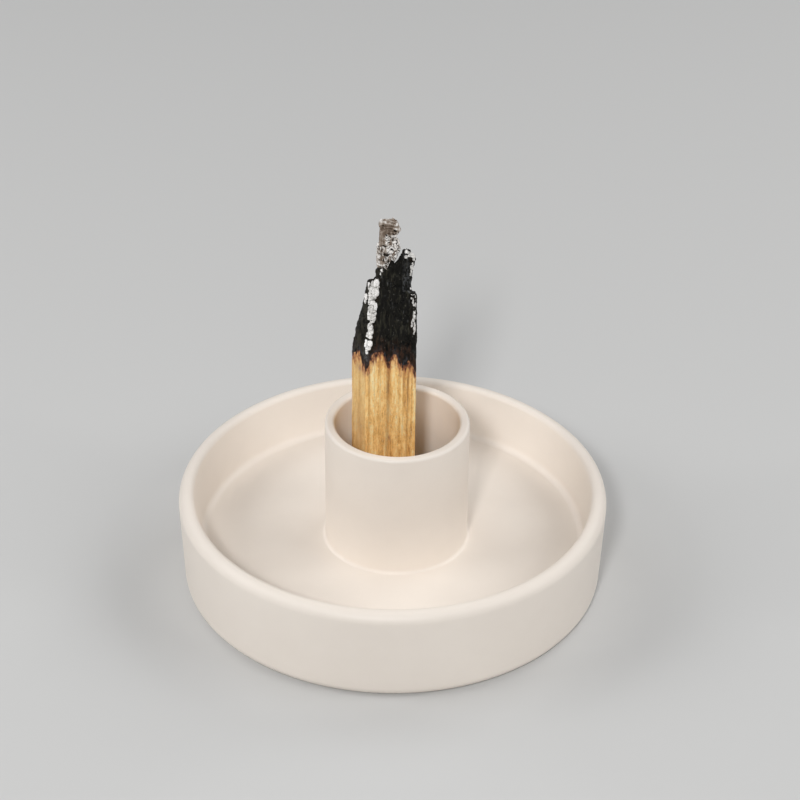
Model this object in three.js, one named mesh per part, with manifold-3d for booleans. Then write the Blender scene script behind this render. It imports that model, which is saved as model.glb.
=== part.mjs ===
// A round ceramic dish with a standing cup, and a burnt stick of resinous wood in the cup.
// Millimetres, +Z up, seen from the front along +Y. The origin is on the surface that the dish
// stands on, under the centre of the dish.

import * as THREE from 'three';
import { mergeVertices } from 'three/addons/utils/BufferGeometryUtils.js';
import Module from 'manifold-3d';

const wasm = await Module();
wasm.setup();

// Dish
const rimRadius = 50.1;
const baseRadius = 48.9;
const dishHeight = 23.2;
const rimWall = 3.6;
const floorHeight = 10.3;
const floorRadius = 44.8;
const rimOuterRound = 2.3;
const rimInnerRound = 1.2;
const baseRound = 2.5;
const coveRound = 1.8;
const footRingWidth = 7;
const recessDepth = 2.4;
const recessRound = 0.8;

// Cup, a little to the right of the dish's centre
const cupHeight = 41.6;
const cupRadius = 16.65;
const cupWall = 2.3;
const cupOffset = 0.9;
const cupRimRound = 0.75;
const cupFootRound = 0.8;
const boreDepth = 33.2;
const boreFloorRound = 1.5;

// Stick, as it was split: its width runs along X and its depth along Y
const stickWidth = 14.4;
const stickDepth = 10.5;
const woodHeight = 54.2;
const stickRound = 0.6;
const facetWidth = 3.6;
const facetDepth = 3.4;
const endChamfer = 0.4;
const wallGap = 2.75;
const seatGap = 0.3;

// Grooves that the split left along the faces: place across the face, half width and depth
const frontGrooves = [
  { across: 0.8, half: 0.75, size: 0.55 },
  { across: 5.4, half: 0.6, size: 0.35 },
];
const backGrooves = [
  { across: -2.6, half: 0.9, size: 0.5 },
  { across: 3.7, half: 0.7, size: 0.4 },
];

// Tongues of char that run down the faces from the char line: place, half width and length
const frontTongues = [
  { across: -4, half: 1.1, size: 4.2 },
  { across: 0.9, half: 0.7, size: 3.2 },
  { across: 4.9, half: 1.6, size: 2.6 },
  { across: 7.2, half: 0.7, size: 3.4 },
];
const backTongues = [
  { across: -6, half: 1.4, size: 2.6 },
  { across: -2.6, half: 1, size: 4 },
  { across: 3.7, half: 1.3, size: 3.2 },
];
const edgeDrop = 1.6;
const backDrop = 3;
const coreRise = 3;
const charGap = 0.3;

// Charred head: heights one above the other, from the top of the wood to the tip of the horn. The
// horn's top slants down to the right, and its left side leans out to a saddle at its foot.
const shoulderHeight = 18.3;
const ledgeRise = 2.8;
const hornRise = 4.3;
const taperDepth = 2.8;
const shoulderInset = 3.6;
const rightInset = 0.2;
const shoulderFront = 3.6;
const shoulderBack = 1.6;
const ledgeFront = 3.3;
const ledgeBack = 1.1;
const hornWidth = 2.9;
const hornRound = 0.6;
const hornSlant = 0.5;
const saddleRise = 2.9;
const saddleReach = 1.8;
const headFall = 0.6;
const stepInset = 0.15;
const ledgeHeight = shoulderHeight + ledgeRise;
const hornHeight = ledgeHeight + hornRise;

// Notch where the head's front right corner has broken away: its foot and its rise above the wood,
// how far the side and the front stand back over it, and where across the front it starts
const notchFoot = 14.6;
const notchRise = 0.9;
const notchSide = 1.3;
const notchFront = 0.7;
const notchEdge = 4.1;
const notchRun = 0.5;
const notchTop = notchFoot + notchRise;

// Ash
const ashGap = 0.3;
const tipWidth = 5.4;
const tipDepth = 4;
const tipHeight = 10.5;
const tipRound = 4.2;
const tipInset = 0.8;
const tipBackInset = 0.85;
const tipLean = 0.6;
const tipFall = 0.22;
const tipCorners = 0.55;
const tipLump = 0.04;
const tipLobes = 3;
const tipTwist = 2.4;
const crustThickness = 0.8;
const crustEdge = 0.2;
const crustHollow = 0.4;
const scaleHeight = 2.4;

// Where the crusts start and end on the way up the head. The flake and the strip above it are
// one crust that has cracked through, and so are the two slivers.
const flakeFoot = -0.6;
const flakeHeight = 4.1;
const crackHeight = 0.3;
const stripTop = 0.3;
const sliverTop = 0.9;
const upperSliver = 2;
const sliverCrack = 0.8;
const lowerSliver = 2.8;
const streakFoot = 4.6;
const edgeMargin = 0.35;
const capRise = 2.1;

const stripFoot = flakeFoot + flakeHeight + crackHeight;
const upperFoot = shoulderHeight - sliverTop - upperSliver;
const lowerTop = upperFoot - sliverCrack;

// The crusts: their stretch of the way round the section, which starts at the front left arris,
// how far round they lean on the way up, and the heights above the wood that they lie between
const crusts = [
  { name: 'ash_strip_left', from: -0.016, to: 0.024, lean: -0.02,
    low: stripFoot, high: shoulderHeight - stripTop },
  { name: 'ash_flake_left', from: -0.018, to: 0.02, lean: 0,
    low: flakeFoot, high: flakeFoot + flakeHeight },
  { name: 'ash_sliver_left_upper', from: 0.93, to: 0.95, lean: 0,
    low: upperFoot, high: upperFoot + upperSliver },
  { name: 'ash_sliver_left_lower', from: 0.915, to: 0.935, lean: 0,
    low: lowerTop - lowerSliver, high: lowerTop },
  { name: 'ash_streak_right', from: 0.212, to: 0.24, lean: 0,
    low: streakFoot, high: notchFoot - edgeMargin },
  { name: 'ash_edge_right', from: 0.19, to: 0.235, lean: 0,
    low: shoulderHeight + edgeMargin, high: ledgeHeight - edgeMargin },
  { name: 'ash_cap_right', from: 0.03, to: 0.25, lean: 0,
    low: ledgeHeight + capRise, high: hornHeight - hornRound },
];

// Facets
const dishSides = 72;
const cupSides = 48;
const arcSteps = 4;
const stickSides = 72;
const charColumns = 32;
const charRows = 12;
const charMargin = 1;
const tipSides = 24;
const tipSteps = 7;
const crustStep = 0.016;
const weldDistance = 1e-4;

const boreRadius = cupRadius - cupWall;
const boreFloor = cupHeight - boreDepth;
const halfWidth = stickWidth / 2;
const halfDepth = stickDepth / 2;

// The stick stands left of the cup's centre, its back left corner clear of the bore by wallGap
const stickReach = Math.sqrt((boreRadius - wallGap) ** 2 - halfDepth ** 2);
const stickX = cupOffset + halfWidth - stickReach;

// Solids and booleans

function toSolid(geometry) {
  const plain = new THREE.BufferGeometry();
  plain.setAttribute('position', geometry.getAttribute('position'));
  plain.setIndex(geometry.getIndex());
  const merged = mergeVertices(plain, weldDistance);
  const index = merged.getIndex().array;
  const corners = [];
  for (let i = 0; i < index.length; i += 3) {
    const [a, b, c] = index.slice(i, i + 3);
    if (a !== b && b !== c && c !== a) corners.push(a, b, c);
  }
  return new wasm.Manifold(new wasm.Mesh({
    numProp: 3,
    vertProperties: Float32Array.from(merged.getAttribute('position').array),
    triVerts: Uint32Array.from(corners),
  }));
}

function toGeometry(solid) {
  const mesh = solid.getMesh();
  const geometry = new THREE.BufferGeometry();
  geometry.setAttribute('position', new THREE.Float32BufferAttribute(mesh.vertProperties, 3));
  geometry.setIndex(Array.from(mesh.triVerts));
  geometry.computeVertexNormals();
  return geometry;
}

// A profile of corners [radius, height, round], each round drawn as an arc tangent to both sides
function roundedProfile(corners) {
  const points = [];
  corners.forEach(([r, z, round = 0], i) => {
    const corner = new THREE.Vector2(r, z);
    if (round === 0) {
      points.push(corner);
      return;
    }
    const before = new THREE.Vector2(...corners[i - 1].slice(0, 2)).sub(corner).normalize();
    const after = new THREE.Vector2(...corners[i + 1].slice(0, 2)).sub(corner).normalize();
    const halfAngle = Math.acos(before.dot(after)) / 2;
    const middle = before.clone().add(after).normalize();
    const centre = corner.clone().addScaledVector(middle, round / Math.sin(halfAngle));
    const start = corner.clone().addScaledVector(before, round / Math.tan(halfAngle)).sub(centre);
    const end = corner.clone().addScaledVector(after, round / Math.tan(halfAngle)).sub(centre);
    const turn = Math.atan2(start.cross(end), start.dot(end));
    for (let k = 0; k <= arcSteps; k += 1) {
      const spoke = start.clone().rotateAround(new THREE.Vector2(), turn * k / arcSteps);
      points.push(spoke.add(centre));
    }
  });
  return points;
}

// A profile turned round the Z axis
function turned(corners, sides) {
  return new THREE.LatheGeometry(roundedProfile(corners), sides).rotateX(Math.PI / 2);
}

// A closed skin through rings of equally many points, with a fan of triangles over each end
function loft(rings) {
  const count = rings[0].length;
  const last = rings.length - 1;
  const points = rings.flat();
  const ends = [0, last].map((i) => {
    const middle = new THREE.Vector3();
    rings[i].forEach((point) => middle.add(point));
    return middle.divideScalar(count);
  });
  const index = [];
  for (let i = 0; i < count; i += 1) {
    const next = (i + 1) % count;
    for (let k = 0; k < last; k += 1) {
      const a = k * count + i;
      const b = k * count + next;
      index.push(a, b, b + count, a, b + count, a + count);
    }
    index.push(points.length, next, i);
    index.push(points.length + 1, last * count + i, last * count + next);
  }
  const geometry = new THREE.BufferGeometry();
  geometry.setFromPoints([...points, ...ends]);
  geometry.setIndex(index);
  return geometry;
}

// Dish and cup, one fired piece

function dishSolid() {
  const ringInner = baseRadius - baseRound - footRingWidth;
  return toSolid(turned([
    [0, recessDepth],
    [ringInner, recessDepth, recessRound],
    [ringInner, 0, recessRound],
    [baseRadius, 0, baseRound],
    [rimRadius, dishHeight, rimOuterRound],
    [rimRadius - rimWall, dishHeight, rimInnerRound],
    [floorRadius, floorHeight, coveRound],
    [0, floorHeight],
  ], dishSides));
}

function cupSolid() {
  const root = (floorHeight + boreFloor) / 2;
  return toSolid(turned([
    [0, root],
    [cupRadius + cupFootRound, root],
    [cupRadius + cupFootRound, floorHeight],
    [cupRadius, floorHeight, cupFootRound],
    [cupRadius, cupHeight, cupRimRound],
    [0, cupHeight],
  ], cupSides));
}

function boreSolid() {
  const mouth = boreRadius + cupRimRound;
  return toSolid(turned([
    [0, boreFloor],
    [boreRadius, boreFloor, boreFloorRound],
    [boreRadius, cupHeight, cupRimRound],
    [mouth, cupHeight],
    [mouth, cupHeight + cupRimRound],
    [0, cupHeight + cupRimRound],
  ], cupSides));
}

function holderBody() {
  const cup = cupSolid().translate([cupOffset, 0, 0]);
  const bore = boreSolid().translate([cupOffset, 0, 0]);
  return toGeometry(dishSolid().add(cup).subtract(bore));
}

// Section of the stick, seen from above: a rectangle with its front left corner split away

function splitOutline() {
  const corners = [
    [facetWidth - halfWidth, -halfDepth],
    [halfWidth, -halfDepth],
    [halfWidth, halfDepth],
    [-halfWidth, halfDepth],
    [-halfWidth, facetDepth - halfDepth],
  ].map(([x, y]) => new THREE.Vector2(x, y));
  const outline = new THREE.Shape();
  corners.forEach((corner, i) => {
    const toBefore = corners[(i + 4) % 5].clone().sub(corner).setLength(stickRound);
    const toAfter = corners[(i + 1) % 5].clone().sub(corner).setLength(stickRound);
    const [start, end] = [toBefore.add(corner), toAfter.add(corner)];
    if (i === 0) outline.moveTo(start.x, start.y);
    else outline.lineTo(start.x, start.y);
    outline.quadraticCurveTo(corner.x, corner.y, end.x, end.y);
  });
  outline.closePath();
  return outline;
}

const outline = splitOutline();

// Height of rounded hollows or tongues at a place across a face
function bumps(list, x) {
  const heights = list.map(({ across, half, size }) => size * Math.exp(-(((x - across) / half) ** 2)));
  return heights.reduce((sum, height) => sum + height, 0);
}

// A point of the outline, u of the way round it, as shares of the half width and half depth
function outlinePoint(u) {
  const { x, y } = outline.getPointAt(u - Math.floor(u));
  return new THREE.Vector2(x / halfWidth, y / halfDepth);
}

// The same point, sunk into the grooves of the front and back faces
function sectionPoint(u) {
  const point = outlinePoint(u);
  const [x, y] = [point.x * halfWidth, point.y * halfDepth];
  const onFace = Math.abs(y) > halfDepth - stickRound;
  const groove = onFace ? bumps(y < 0 ? frontGrooves : backGrooves, x) : 0;
  return point.setY((y - Math.sign(y) * groove) / halfDepth);
}

const headRight = halfWidth - rightInset;
const ledgeRight = headRight - stepInset;
const hornRight = ledgeRight - stepInset;
const hornLeft = hornRight - hornWidth;
const ledgeLeft = hornLeft - ashGap - tipWidth;

// How far the right side stands back over the notch: it comes out again on the way up the horn
function setBack(height) {
  const share = (hornHeight - height) / (hornHeight - notchTop);
  return notchSide * THREE.MathUtils.clamp(share, 0, 1);
}

// How far the horn's left side leans out to the saddle at its foot, at a height above the ledge
function saddleLean(rise) {
  return saddleReach * Math.max(0, 1 - rise / saddleRise);
}

// Limits of the head's section. The top falls away to the back, so each ring tilts by its fall, and
// it tilts to the right by its slant. Side and sink are how far the right side and the front stand
// back over the notch.
const longestTongue = Math.max(...[...frontTongues, ...backTongues].map(({ size }) => size));
const lowestChar = -longestTongue - edgeDrop - backDrop;
const full = {
  left: -halfWidth,
  right: halfWidth,
  front: -halfDepth,
  back: halfDepth,
  fall: 0,
  slant: 0,
  side: 0,
  sink: 0,
};
const shoulder = {
  left: shoulderInset - halfWidth,
  right: headRight,
  front: -shoulderFront,
  back: shoulderBack,
  fall: headFall,
  slant: 0,
  side: setBack(shoulderHeight),
  sink: notchFront,
};

function mixed(low, high, share) {
  const entries = Object.keys(low).map((key) => [key, THREE.MathUtils.lerp(low[key], high[key], share)]);
  return Object.fromEntries(entries);
}

// The head narrows evenly from the wood's own section to its shoulder
function tapered(height, side, sink) {
  const share = (height + taperDepth) / (shoulderHeight + taperDepth);
  return { ...mixed(full, shoulder, share), side, sink };
}

function ledgeAt(height) {
  return {
    ...shoulder,
    left: ledgeLeft,
    right: ledgeRight,
    front: -ledgeFront,
    back: ledgeBack,
    side: setBack(height),
  };
}

// The horn grows out of the ledge, and its slant grows with it
function hornAt(rise) {
  return {
    left: hornLeft - saddleLean(rise),
    right: hornRight,
    front: stepInset - ledgeFront,
    back: ledgeBack - stepInset,
    fall: headFall,
    slant: hornSlant * rise / (hornRise - hornRound),
    side: setBack(ledgeHeight + rise),
    sink: notchFront,
  };
}

function shrunk(limits, inset) {
  const { left, right, front, back } = limits;
  return { ...limits, left: left + inset, right: right - inset, front: front + inset, back: back - inset };
}

// The head's sections from below the longest tongue to the tip of the horn, by height above the wood
const hornTop = hornAt(hornRise - hornRound);
const headStations = [
  { height: 2 * lowestChar, limits: full },
  { height: -taperDepth, limits: full },
  { height: notchFoot, limits: tapered(notchFoot, 0, 0) },
  { height: notchTop, limits: tapered(notchTop, notchSide, notchFront) },
  { height: shoulderHeight, limits: shoulder },
  { height: shoulderHeight, limits: ledgeAt(shoulderHeight) },
  { height: ledgeHeight, limits: ledgeAt(ledgeHeight) },
  { height: ledgeHeight, limits: hornAt(0) },
  { height: ledgeHeight + saddleRise, limits: hornAt(saddleRise) },
  { height: hornHeight - hornRound, limits: hornTop },
  { height: hornHeight, limits: shrunk(hornTop, hornRound) },
];

function limitsAt(height) {
  const found = headStations.findIndex((station) => station.height >= height);
  const above = found < 0 ? headStations.length - 1 : found;
  const [low, high] = [headStations[Math.max(above - 1, 0)], headStations[above]];
  const span = high.height - low.height;
  const share = span > 0 ? Math.min(1, (height - low.height) / span) : 0;
  return mixed(low.limits, high.limits, share);
}

// A point of the section put between the limits, at a height above the wood
function placeInLimits(point, limits, height) {
  const { left, right, front, back, fall, slant, side, sink } = limits;
  const { mapLinear, smoothstep } = THREE.MathUtils;
  const across = mapLinear(point.x, -1, 1, left, right);
  const sunk = sink * smoothstep(across, notchEdge, notchEdge + notchRun) * Math.max(0, -point.y);
  const x = across - side * smoothstep(across, notchEdge, right);
  const y = mapLinear(point.y, -1, 1, front, back) + sunk;
  return new THREE.Vector3(x, y, woodHeight + height - fall * (y - front) - slant * (x - left));
}

function sectionRing(limits, height) {
  return Array.from({ length: stickSides }, (_, i) => (
    placeInLimits(sectionPoint(i / stickSides), limits, height)));
}

// Height of the char line at a place in the section. It drops at the two sides and to the back,
// tongues run down the faces, and a core of wood stands up in the middle.
function charLine(x, y) {
  const tongues = y < 0 ? frontTongues : backTongues;
  const core = Math.max(0, 1 - (x / halfWidth) ** 2) * Math.max(0, 1 - (y / halfDepth) ** 2);
  const onFace = Math.min(1, Math.abs(y) / halfDepth);
  const drop = edgeDrop * (x / halfWidth) ** 6 + backDrop * (y + halfDepth) / stickDepth;
  return woodHeight - drop - onFace * bumps(tongues, x) + coreRise * core;
}

// The space above the char line, raised by a gap: a wavy floor under a flat top, a margin wider
// than the stick
function aboveCharLine(gap) {
  const top = woodHeight + hornHeight + tipHeight;
  const [width, depth] = [stickWidth + 2 * charMargin, stickDepth + 2 * charMargin];
  const box = new THREE.BoxGeometry(width, depth, top, charColumns, charRows, 1);
  const places = box.getAttribute('position');
  for (let i = 0; i < places.count; i += 1) {
    const wavy = charLine(places.getX(i), places.getY(i)) + gap;
    places.setZ(i, places.getZ(i) < 0 ? wavy : top);
  }
  return toSolid(box);
}

function stickWood() {
  const heights = [endChamfer - woodHeight, -taperDepth, 2 * coreRise];
  const blank = loft([
    sectionRing(shrunk(full, endChamfer), -woodHeight),
    ...heights.map((height) => sectionRing(limitsAt(height), height)),
  ]);
  return toGeometry(toSolid(blank).subtract(aboveCharLine(0)));
}

function charredHead() {
  const rings = headStations.map(({ height, limits }) => sectionRing(limits, height));
  return toGeometry(toSolid(loft(rings)).intersect(aboveCharLine(charGap)));
}

// A crust of ash on the head, which bridges the grooves. It swells into scales with hollows
// between them, thins to crustEdge at its edges and stands ashGap off the charcoal.
function crust({ from, to, lean, low, high }) {
  const nearby = crustStep / 16;
  const across = Math.max(5, Math.ceil((to - from) / crustStep));
  const along = Math.max(4, Math.ceil((high - low) / (scaleHeight / 4)));
  const rings = Array.from({ length: along + 1 }, (_, k) => {
    const height = THREE.MathUtils.lerp(low, high, k / along);
    const limits = limitsAt(height);
    const swell = Math.sqrt(Math.sin(Math.PI * k / along));
    const scale = Math.abs(Math.sin(Math.PI * (height - low) / scaleHeight));
    const fullness = swell * (1 - crustHollow * (1 - scale));
    const inner = [];
    const outer = [];
    for (let i = 0; i <= across; i += 1) {
      const u = THREE.MathUtils.lerp(from, to, i / across) + lean * k / along;
      const here = placeInLimits(outlinePoint(u), limits, height);
      const tangent = placeInLimits(outlinePoint(u + nearby), limits, height).sub(here);
      const outward = new THREE.Vector3(tangent.y, -tangent.x, 0).normalize();
      const crown = Math.sin(Math.PI * i / across) * fullness;
      const stand = ashGap + crustEdge + (crustThickness - crustEdge) * crown;
      inner.push(here.clone().addScaledVector(outward, ashGap));
      outer.unshift(here.clone().addScaledVector(outward, stand));
    }
    return [...inner, ...outer].reverse();
  });
  return loft(rings);
}

// A cosine or sine flattened so that an oval of them gets four round corners
function squared(value) {
  return Math.sign(value) * Math.abs(value) ** tipCorners;
}

// The column of ash on the ledge beside the horn. Its right side follows the saddle, and its top is
// rounded off to the right and falls away to the back and the left.
function ashTip() {
  const front = -ledgeFront;
  const middle = ledgeLeft + tipWidth / 2;
  const saddleGap = ashGap * Math.hypot(1, saddleReach / saddleRise);
  const rings = Array.from({ length: tipSteps + 1 }, (_, k) => {
    const share = k / tipSteps;
    const rounding = Math.max(0, tipHeight * (share - 1) + tipRound) / tipRound;
    const left = ledgeLeft + tipLean * share;
    const horn = hornLeft - saddleLean(ashGap + tipHeight * share);
    const right = horn - saddleGap - tipInset * rounding ** 2;
    const back = Math.min(ledgeBack, front + tipDepth) - tipBackInset * rounding ** 2;
    const fall = THREE.MathUtils.lerp(headFall, tipFall, share);
    return Array.from({ length: tipSides }, (_, i) => {
      const angle = 2 * Math.PI * i / tipSides;
      const lump = 1 - tipLump * (1 - Math.sin(tipLobes * angle + tipTwist * k));
      const x = THREE.MathUtils.mapLinear(squared(Math.cos(angle)) * lump, -1, 1, left, right);
      const y = THREE.MathUtils.mapLinear(squared(Math.sin(angle)) * lump, -1, 1, front, back);
      const top = ledgeHeight + ashGap + tipHeight * share - fall * (y - front);
      return new THREE.Vector3(x, y, woodHeight + top + tipFall * (x - middle) * share);
    });
  });
  return loft(rings);
}

// The object

const ceramic = { color: 0xe6ddd2, roughness: 0.55, metalness: 0 };
const wood = { color: 0xc99a5c, roughness: 0.75, metalness: 0 };
const charcoal = { color: 0x1c1a18, roughness: 0.8, metalness: 0 };
const greyAsh = { color: 0xa89d93, roughness: 0.95, metalness: 0 };
const whiteAsh = { color: 0xdedad5, roughness: 0.95, metalness: 0 };

function piece(name, geometry, finish) {
  const mesh = new THREE.Mesh(geometry, new THREE.MeshStandardMaterial(finish));
  mesh.name = name;
  return mesh;
}

const stick = new THREE.Group();
stick.position.set(stickX, 0, boreFloor + seatGap);
stick.add(piece('stick_wood', stickWood(), wood));
stick.add(piece('charred_head', charredHead(), charcoal));
stick.add(piece('ash_tip', ashTip(), greyAsh));
crusts.forEach((stretch) => stick.add(piece(stretch.name, crust(stretch), whiteAsh)));

const holder = new THREE.Group();
holder.add(piece('holder_body', holderBody(), ceramic));
holder.add(stick);

export default holder;
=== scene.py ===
# %% [markdown]
# # A dish that holds a burning stick
#
# The object is a shallow dish of pale fired clay with a round cup standing in it, and a split stick
# of resinous wood that has burnt down from its top. The CAD model says where every piece is and how
# big it is. This lesson gives the pieces their real surfaces. Each one is worked out with numpy as a
# grid of points, made into a mesh, and given a finish of shader nodes.

import bpy
import numpy as np
from mathutils import Matrix, Vector


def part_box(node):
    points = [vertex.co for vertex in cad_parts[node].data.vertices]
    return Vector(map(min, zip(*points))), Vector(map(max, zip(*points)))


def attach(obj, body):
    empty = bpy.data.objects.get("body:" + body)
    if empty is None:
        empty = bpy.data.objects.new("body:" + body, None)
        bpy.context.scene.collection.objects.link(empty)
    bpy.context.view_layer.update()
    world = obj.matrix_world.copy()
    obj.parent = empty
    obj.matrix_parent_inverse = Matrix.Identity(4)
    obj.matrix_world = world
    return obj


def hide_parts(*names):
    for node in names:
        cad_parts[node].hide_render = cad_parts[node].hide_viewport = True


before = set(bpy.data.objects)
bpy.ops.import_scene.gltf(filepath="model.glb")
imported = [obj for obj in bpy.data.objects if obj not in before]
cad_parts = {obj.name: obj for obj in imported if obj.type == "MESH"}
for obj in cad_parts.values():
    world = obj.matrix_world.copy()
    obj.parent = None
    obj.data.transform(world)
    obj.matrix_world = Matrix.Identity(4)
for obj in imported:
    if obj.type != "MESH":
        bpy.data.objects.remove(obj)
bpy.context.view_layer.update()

MM = 0.001

# %% [markdown]
# ## Camera
# The camera could be placed by eye, but then nothing in the render could be laid over the
# photograph. Here it stands where the outlines of the dish, the cup and the stick fall on their
# outlines in the picture. Three angles give its direction, and a long lens keeps the dish round.

# %% Place the camera
CAMERA_PLACE = (0, -0.498713, 0.369698)
PITCH = 0.574
YAW = 0.002922
ROLL = 0.010761
FOCAL_PIXELS = 2601.03
IMAGE_PIXELS = 800
SENSOR = 36


def camera_axes(pitch, yaw, roll):
    """Right, up and back as columns. Ahead is +Y turned right by yaw and tipped down by pitch, level
    is square to it, and the two across the view turn by roll about the line of sight."""
    ahead = np.array([np.sin(yaw) * np.cos(pitch), np.cos(yaw) * np.cos(pitch), -np.sin(pitch)])
    level = np.array([np.cos(yaw), -np.sin(yaw), 0])
    upright = np.cross(level, ahead)
    right = np.cos(roll) * level + np.sin(roll) * upright
    up = np.cos(roll) * upright - np.sin(roll) * level
    return np.stack([right, up, -ahead], axis=1)


lens = bpy.data.cameras.new("camera")
lens.sensor_width = SENSOR
lens.lens = FOCAL_PIXELS * SENSOR / IMAGE_PIXELS
camera = bpy.data.objects.new("camera", lens)
turn = Matrix(camera_axes(PITCH, YAW, ROLL).tolist()).to_4x4()
camera.matrix_world = Matrix.Translation(CAMERA_PLACE) @ turn
bpy.context.scene.collection.objects.link(camera)
bpy.context.scene.camera = camera
print("lens:", round(lens.lens, 1), "mm")

# %% [markdown]
# ## Finishes as sums
# A finish is a tree of nodes, and a tree that is wired by hand in Python is hard to read. Here a
# small class wraps one socket, so that sums and products of sockets build their Math nodes. Every
# other node comes from one method, which sets the node's settings before its sockets.


# %% A wrapped socket
class Socket:
    """An output of a node, which adds Math nodes when it is used in a sum."""

    def __init__(self, finish, output):
        self.finish = finish
        self.output = output

    def math(self, operation, first, second):
        return self.finish.node("ShaderNodeMath", {"operation": operation}, {0: first, 1: second})

    def __add__(self, other):
        return self.math("ADD", self, other)

    def __radd__(self, other):
        return self.math("ADD", other, self)

    def __sub__(self, other):
        return self.math("SUBTRACT", self, other)

    def __rsub__(self, other):
        return self.math("SUBTRACT", other, self)

    def __mul__(self, other):
        return self.math("MULTIPLY", self, other)

    def __rmul__(self, other):
        return self.math("MULTIPLY", other, self)


print("sockets can be added, subtracted and multiplied")


# %% A finish
class Finish:
    """A procedural material. Its shader is one Principled BSDF."""

    def __init__(self, name):
        self.material = bpy.data.materials.new(name)
        self.material.use_nodes = True
        self.tree = self.material.node_tree
        self.tree.nodes.clear()

    def node(self, kind, settings, inputs, output=0):
        """Adds a node: its settings first, then a value or a link for each named socket. Gives its
        output, if it has one."""
        made = self.tree.nodes.new(kind)
        for name, value in settings.items():
            if name == "stops":
                self.set_stops(made.color_ramp, value)
            else:
                setattr(made, name, value)
        for name, value in inputs.items():
            if isinstance(value, Socket):
                self.tree.links.new(value.output, made.inputs[name])
            else:
                made.inputs[name].default_value = value
        return Socket(self, made.outputs[output]) if made.outputs else None

    def set_stops(self, ramp, stops):
        """Gives a colour ramp its stops, each a place from 0 to 1 and a colour."""
        while len(ramp.elements) < len(stops):
            ramp.elements.new(1)
        for element, (place, colour) in zip(ramp.elements, stops):
            element.position = place
            element.color = (*colour, 1)

    def place(self, scale):
        """Object coordinates, stretched by a scale along each axis. A scale of 1 means one
        pattern cell to a millimetre."""
        spot = self.node("ShaderNodeTexCoord", {}, {}, "Object")
        scale = [value / MM for value in scale]
        return self.node("ShaderNodeMapping", {"vector_type": "POINT"}, {"Vector": spot, "Scale": scale})

    def noise(self, scale, detail=3, roughness=0.5, distortion=0):
        """Cloudy noise from 0 to 1."""
        values = {"Vector": self.place(scale), "Scale": 1, "Detail": detail}
        values |= {"Roughness": roughness, "Distortion": distortion}
        return self.node("ShaderNodeTexNoise", {}, values, "Fac")

    def mark(self, name):
        """A number that the piece's mesh holds at each point."""
        return self.node("ShaderNodeAttribute", {"attribute_name": name}, {}, "Fac")

    def between(self, value, low, high):
        """0 where the value is under low and 1 where it is over high, with a soft step between."""
        settings = {"interpolation_type": "SMOOTHSTEP"}
        values = {"Value": value, "From Min": low, "From Max": high}
        return self.node("ShaderNodeMapRange", settings, values)

    def blend(self, share, first, second):
        """A colour that goes from the first to the second as the share goes from 0 to 1."""
        inputs = {0: share, 6: self.colour(first), 7: self.colour(second)}
        return self.node("ShaderNodeMix", {"data_type": "RGBA"}, inputs, 2)

    def coats(self, tone, rows):
        """A tone with other colours laid over it in turn: each row is a share and a colour."""
        for share, colour in rows:
            tone = self.blend(share, tone, colour)
        return tone

    def colour(self, value):
        """A plain colour with its alpha, or the socket itself."""
        return value if isinstance(value, Socket) else (*value, 1)

    def ramp(self, share, stops):
        """Colours along a scale from 0 to 1."""
        return self.node("ShaderNodeValToRGB", {"stops": stops}, {"Fac": share})

    def bump(self, height, depth):
        """A normal for a surface whose height, from 0 to 1, spans a depth in millimetres."""
        return self.node("ShaderNodeBump", {}, {"Height": height, "Distance": depth * MM, "Strength": 1})

    def shade(self, **inputs):
        """Closes the tree with the shader, given its sockets by name."""
        values = {name.replace("_", " ").title(): value for name, value in inputs.items()}
        values = {name.replace("Ior", "IOR"): value for name, value in values.items()}
        surface = self.node("ShaderNodeBsdfPrincipled", {}, values)
        self.node("ShaderNodeOutputMaterial", {}, {"Surface": surface})
        print(f"{self.material.name}: {len(self.tree.nodes)} nodes")
        return self.material


print("finishes read object coordinates and marks on the mesh")

# %% [markdown]
# ## Light and floor
# A pale dish needs a pale, even room, or its own colour can't be judged. Soft lamps stand on the left
# and on the right, weaker ones behind and a faint one in front. A small hard one, also in front, draws
# the shadow of the stick on the cup's inside. The sky of the scene fills the rest, and the floor is a
# plain matte sheet.

# %% Lamps
VIEW_CENTRE = Vector((0, 0, 0.03))
LAMP_DISTANCE = 0.9
# Each lamp: name, azimuth and elevation in degrees, side in metres, and power in watts
LAMPS = [
    ("key_lamp", -10, 38, 0.10, 3.4),
    ("left_lamp", -83, 32, 0.45, 2.7),
    ("right_lamp", 75, 36, 0.50, 2.7),
    ("front_lamp", -5, 20, 0.60, 0.5),
    ("back_left_lamp", -130, 40, 0.50, 1.6),
    ("back_right_lamp", 130, 40, 0.50, 2.2),
]


def softbox(name, azimuth, elevation, size, power):
    """A square lamp that faces the object. Azimuth runs from the front to the right, in degrees."""
    turn, rise = np.radians(azimuth), np.radians(elevation)
    way = Vector((np.cos(rise) * np.sin(turn), -np.cos(rise) * np.cos(turn), np.sin(rise)))
    lamp = bpy.data.lights.new(name, "AREA")
    lamp.size = size
    lamp.energy = power
    holder = bpy.data.objects.new(name, lamp)
    facing = (-way).to_track_quat("-Z", "Y").to_matrix().to_4x4()
    holder.matrix_world = Matrix.Translation(VIEW_CENTRE + LAMP_DISTANCE * way) @ facing
    bpy.context.scene.collection.objects.link(holder)


for lamp_row in LAMPS:
    softbox(*lamp_row)
print("lamps:", len(LAMPS))

# %% Sky and floor
SKY_COLOUR = (0.86, 0.87, 0.88)
SKY_STRENGTH = 0.12
FLOOR_HALF = 3
FLOOR_DROP = 0.00005
FLOOR_COLOUR = (0.58, 0.58, 0.575)

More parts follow.
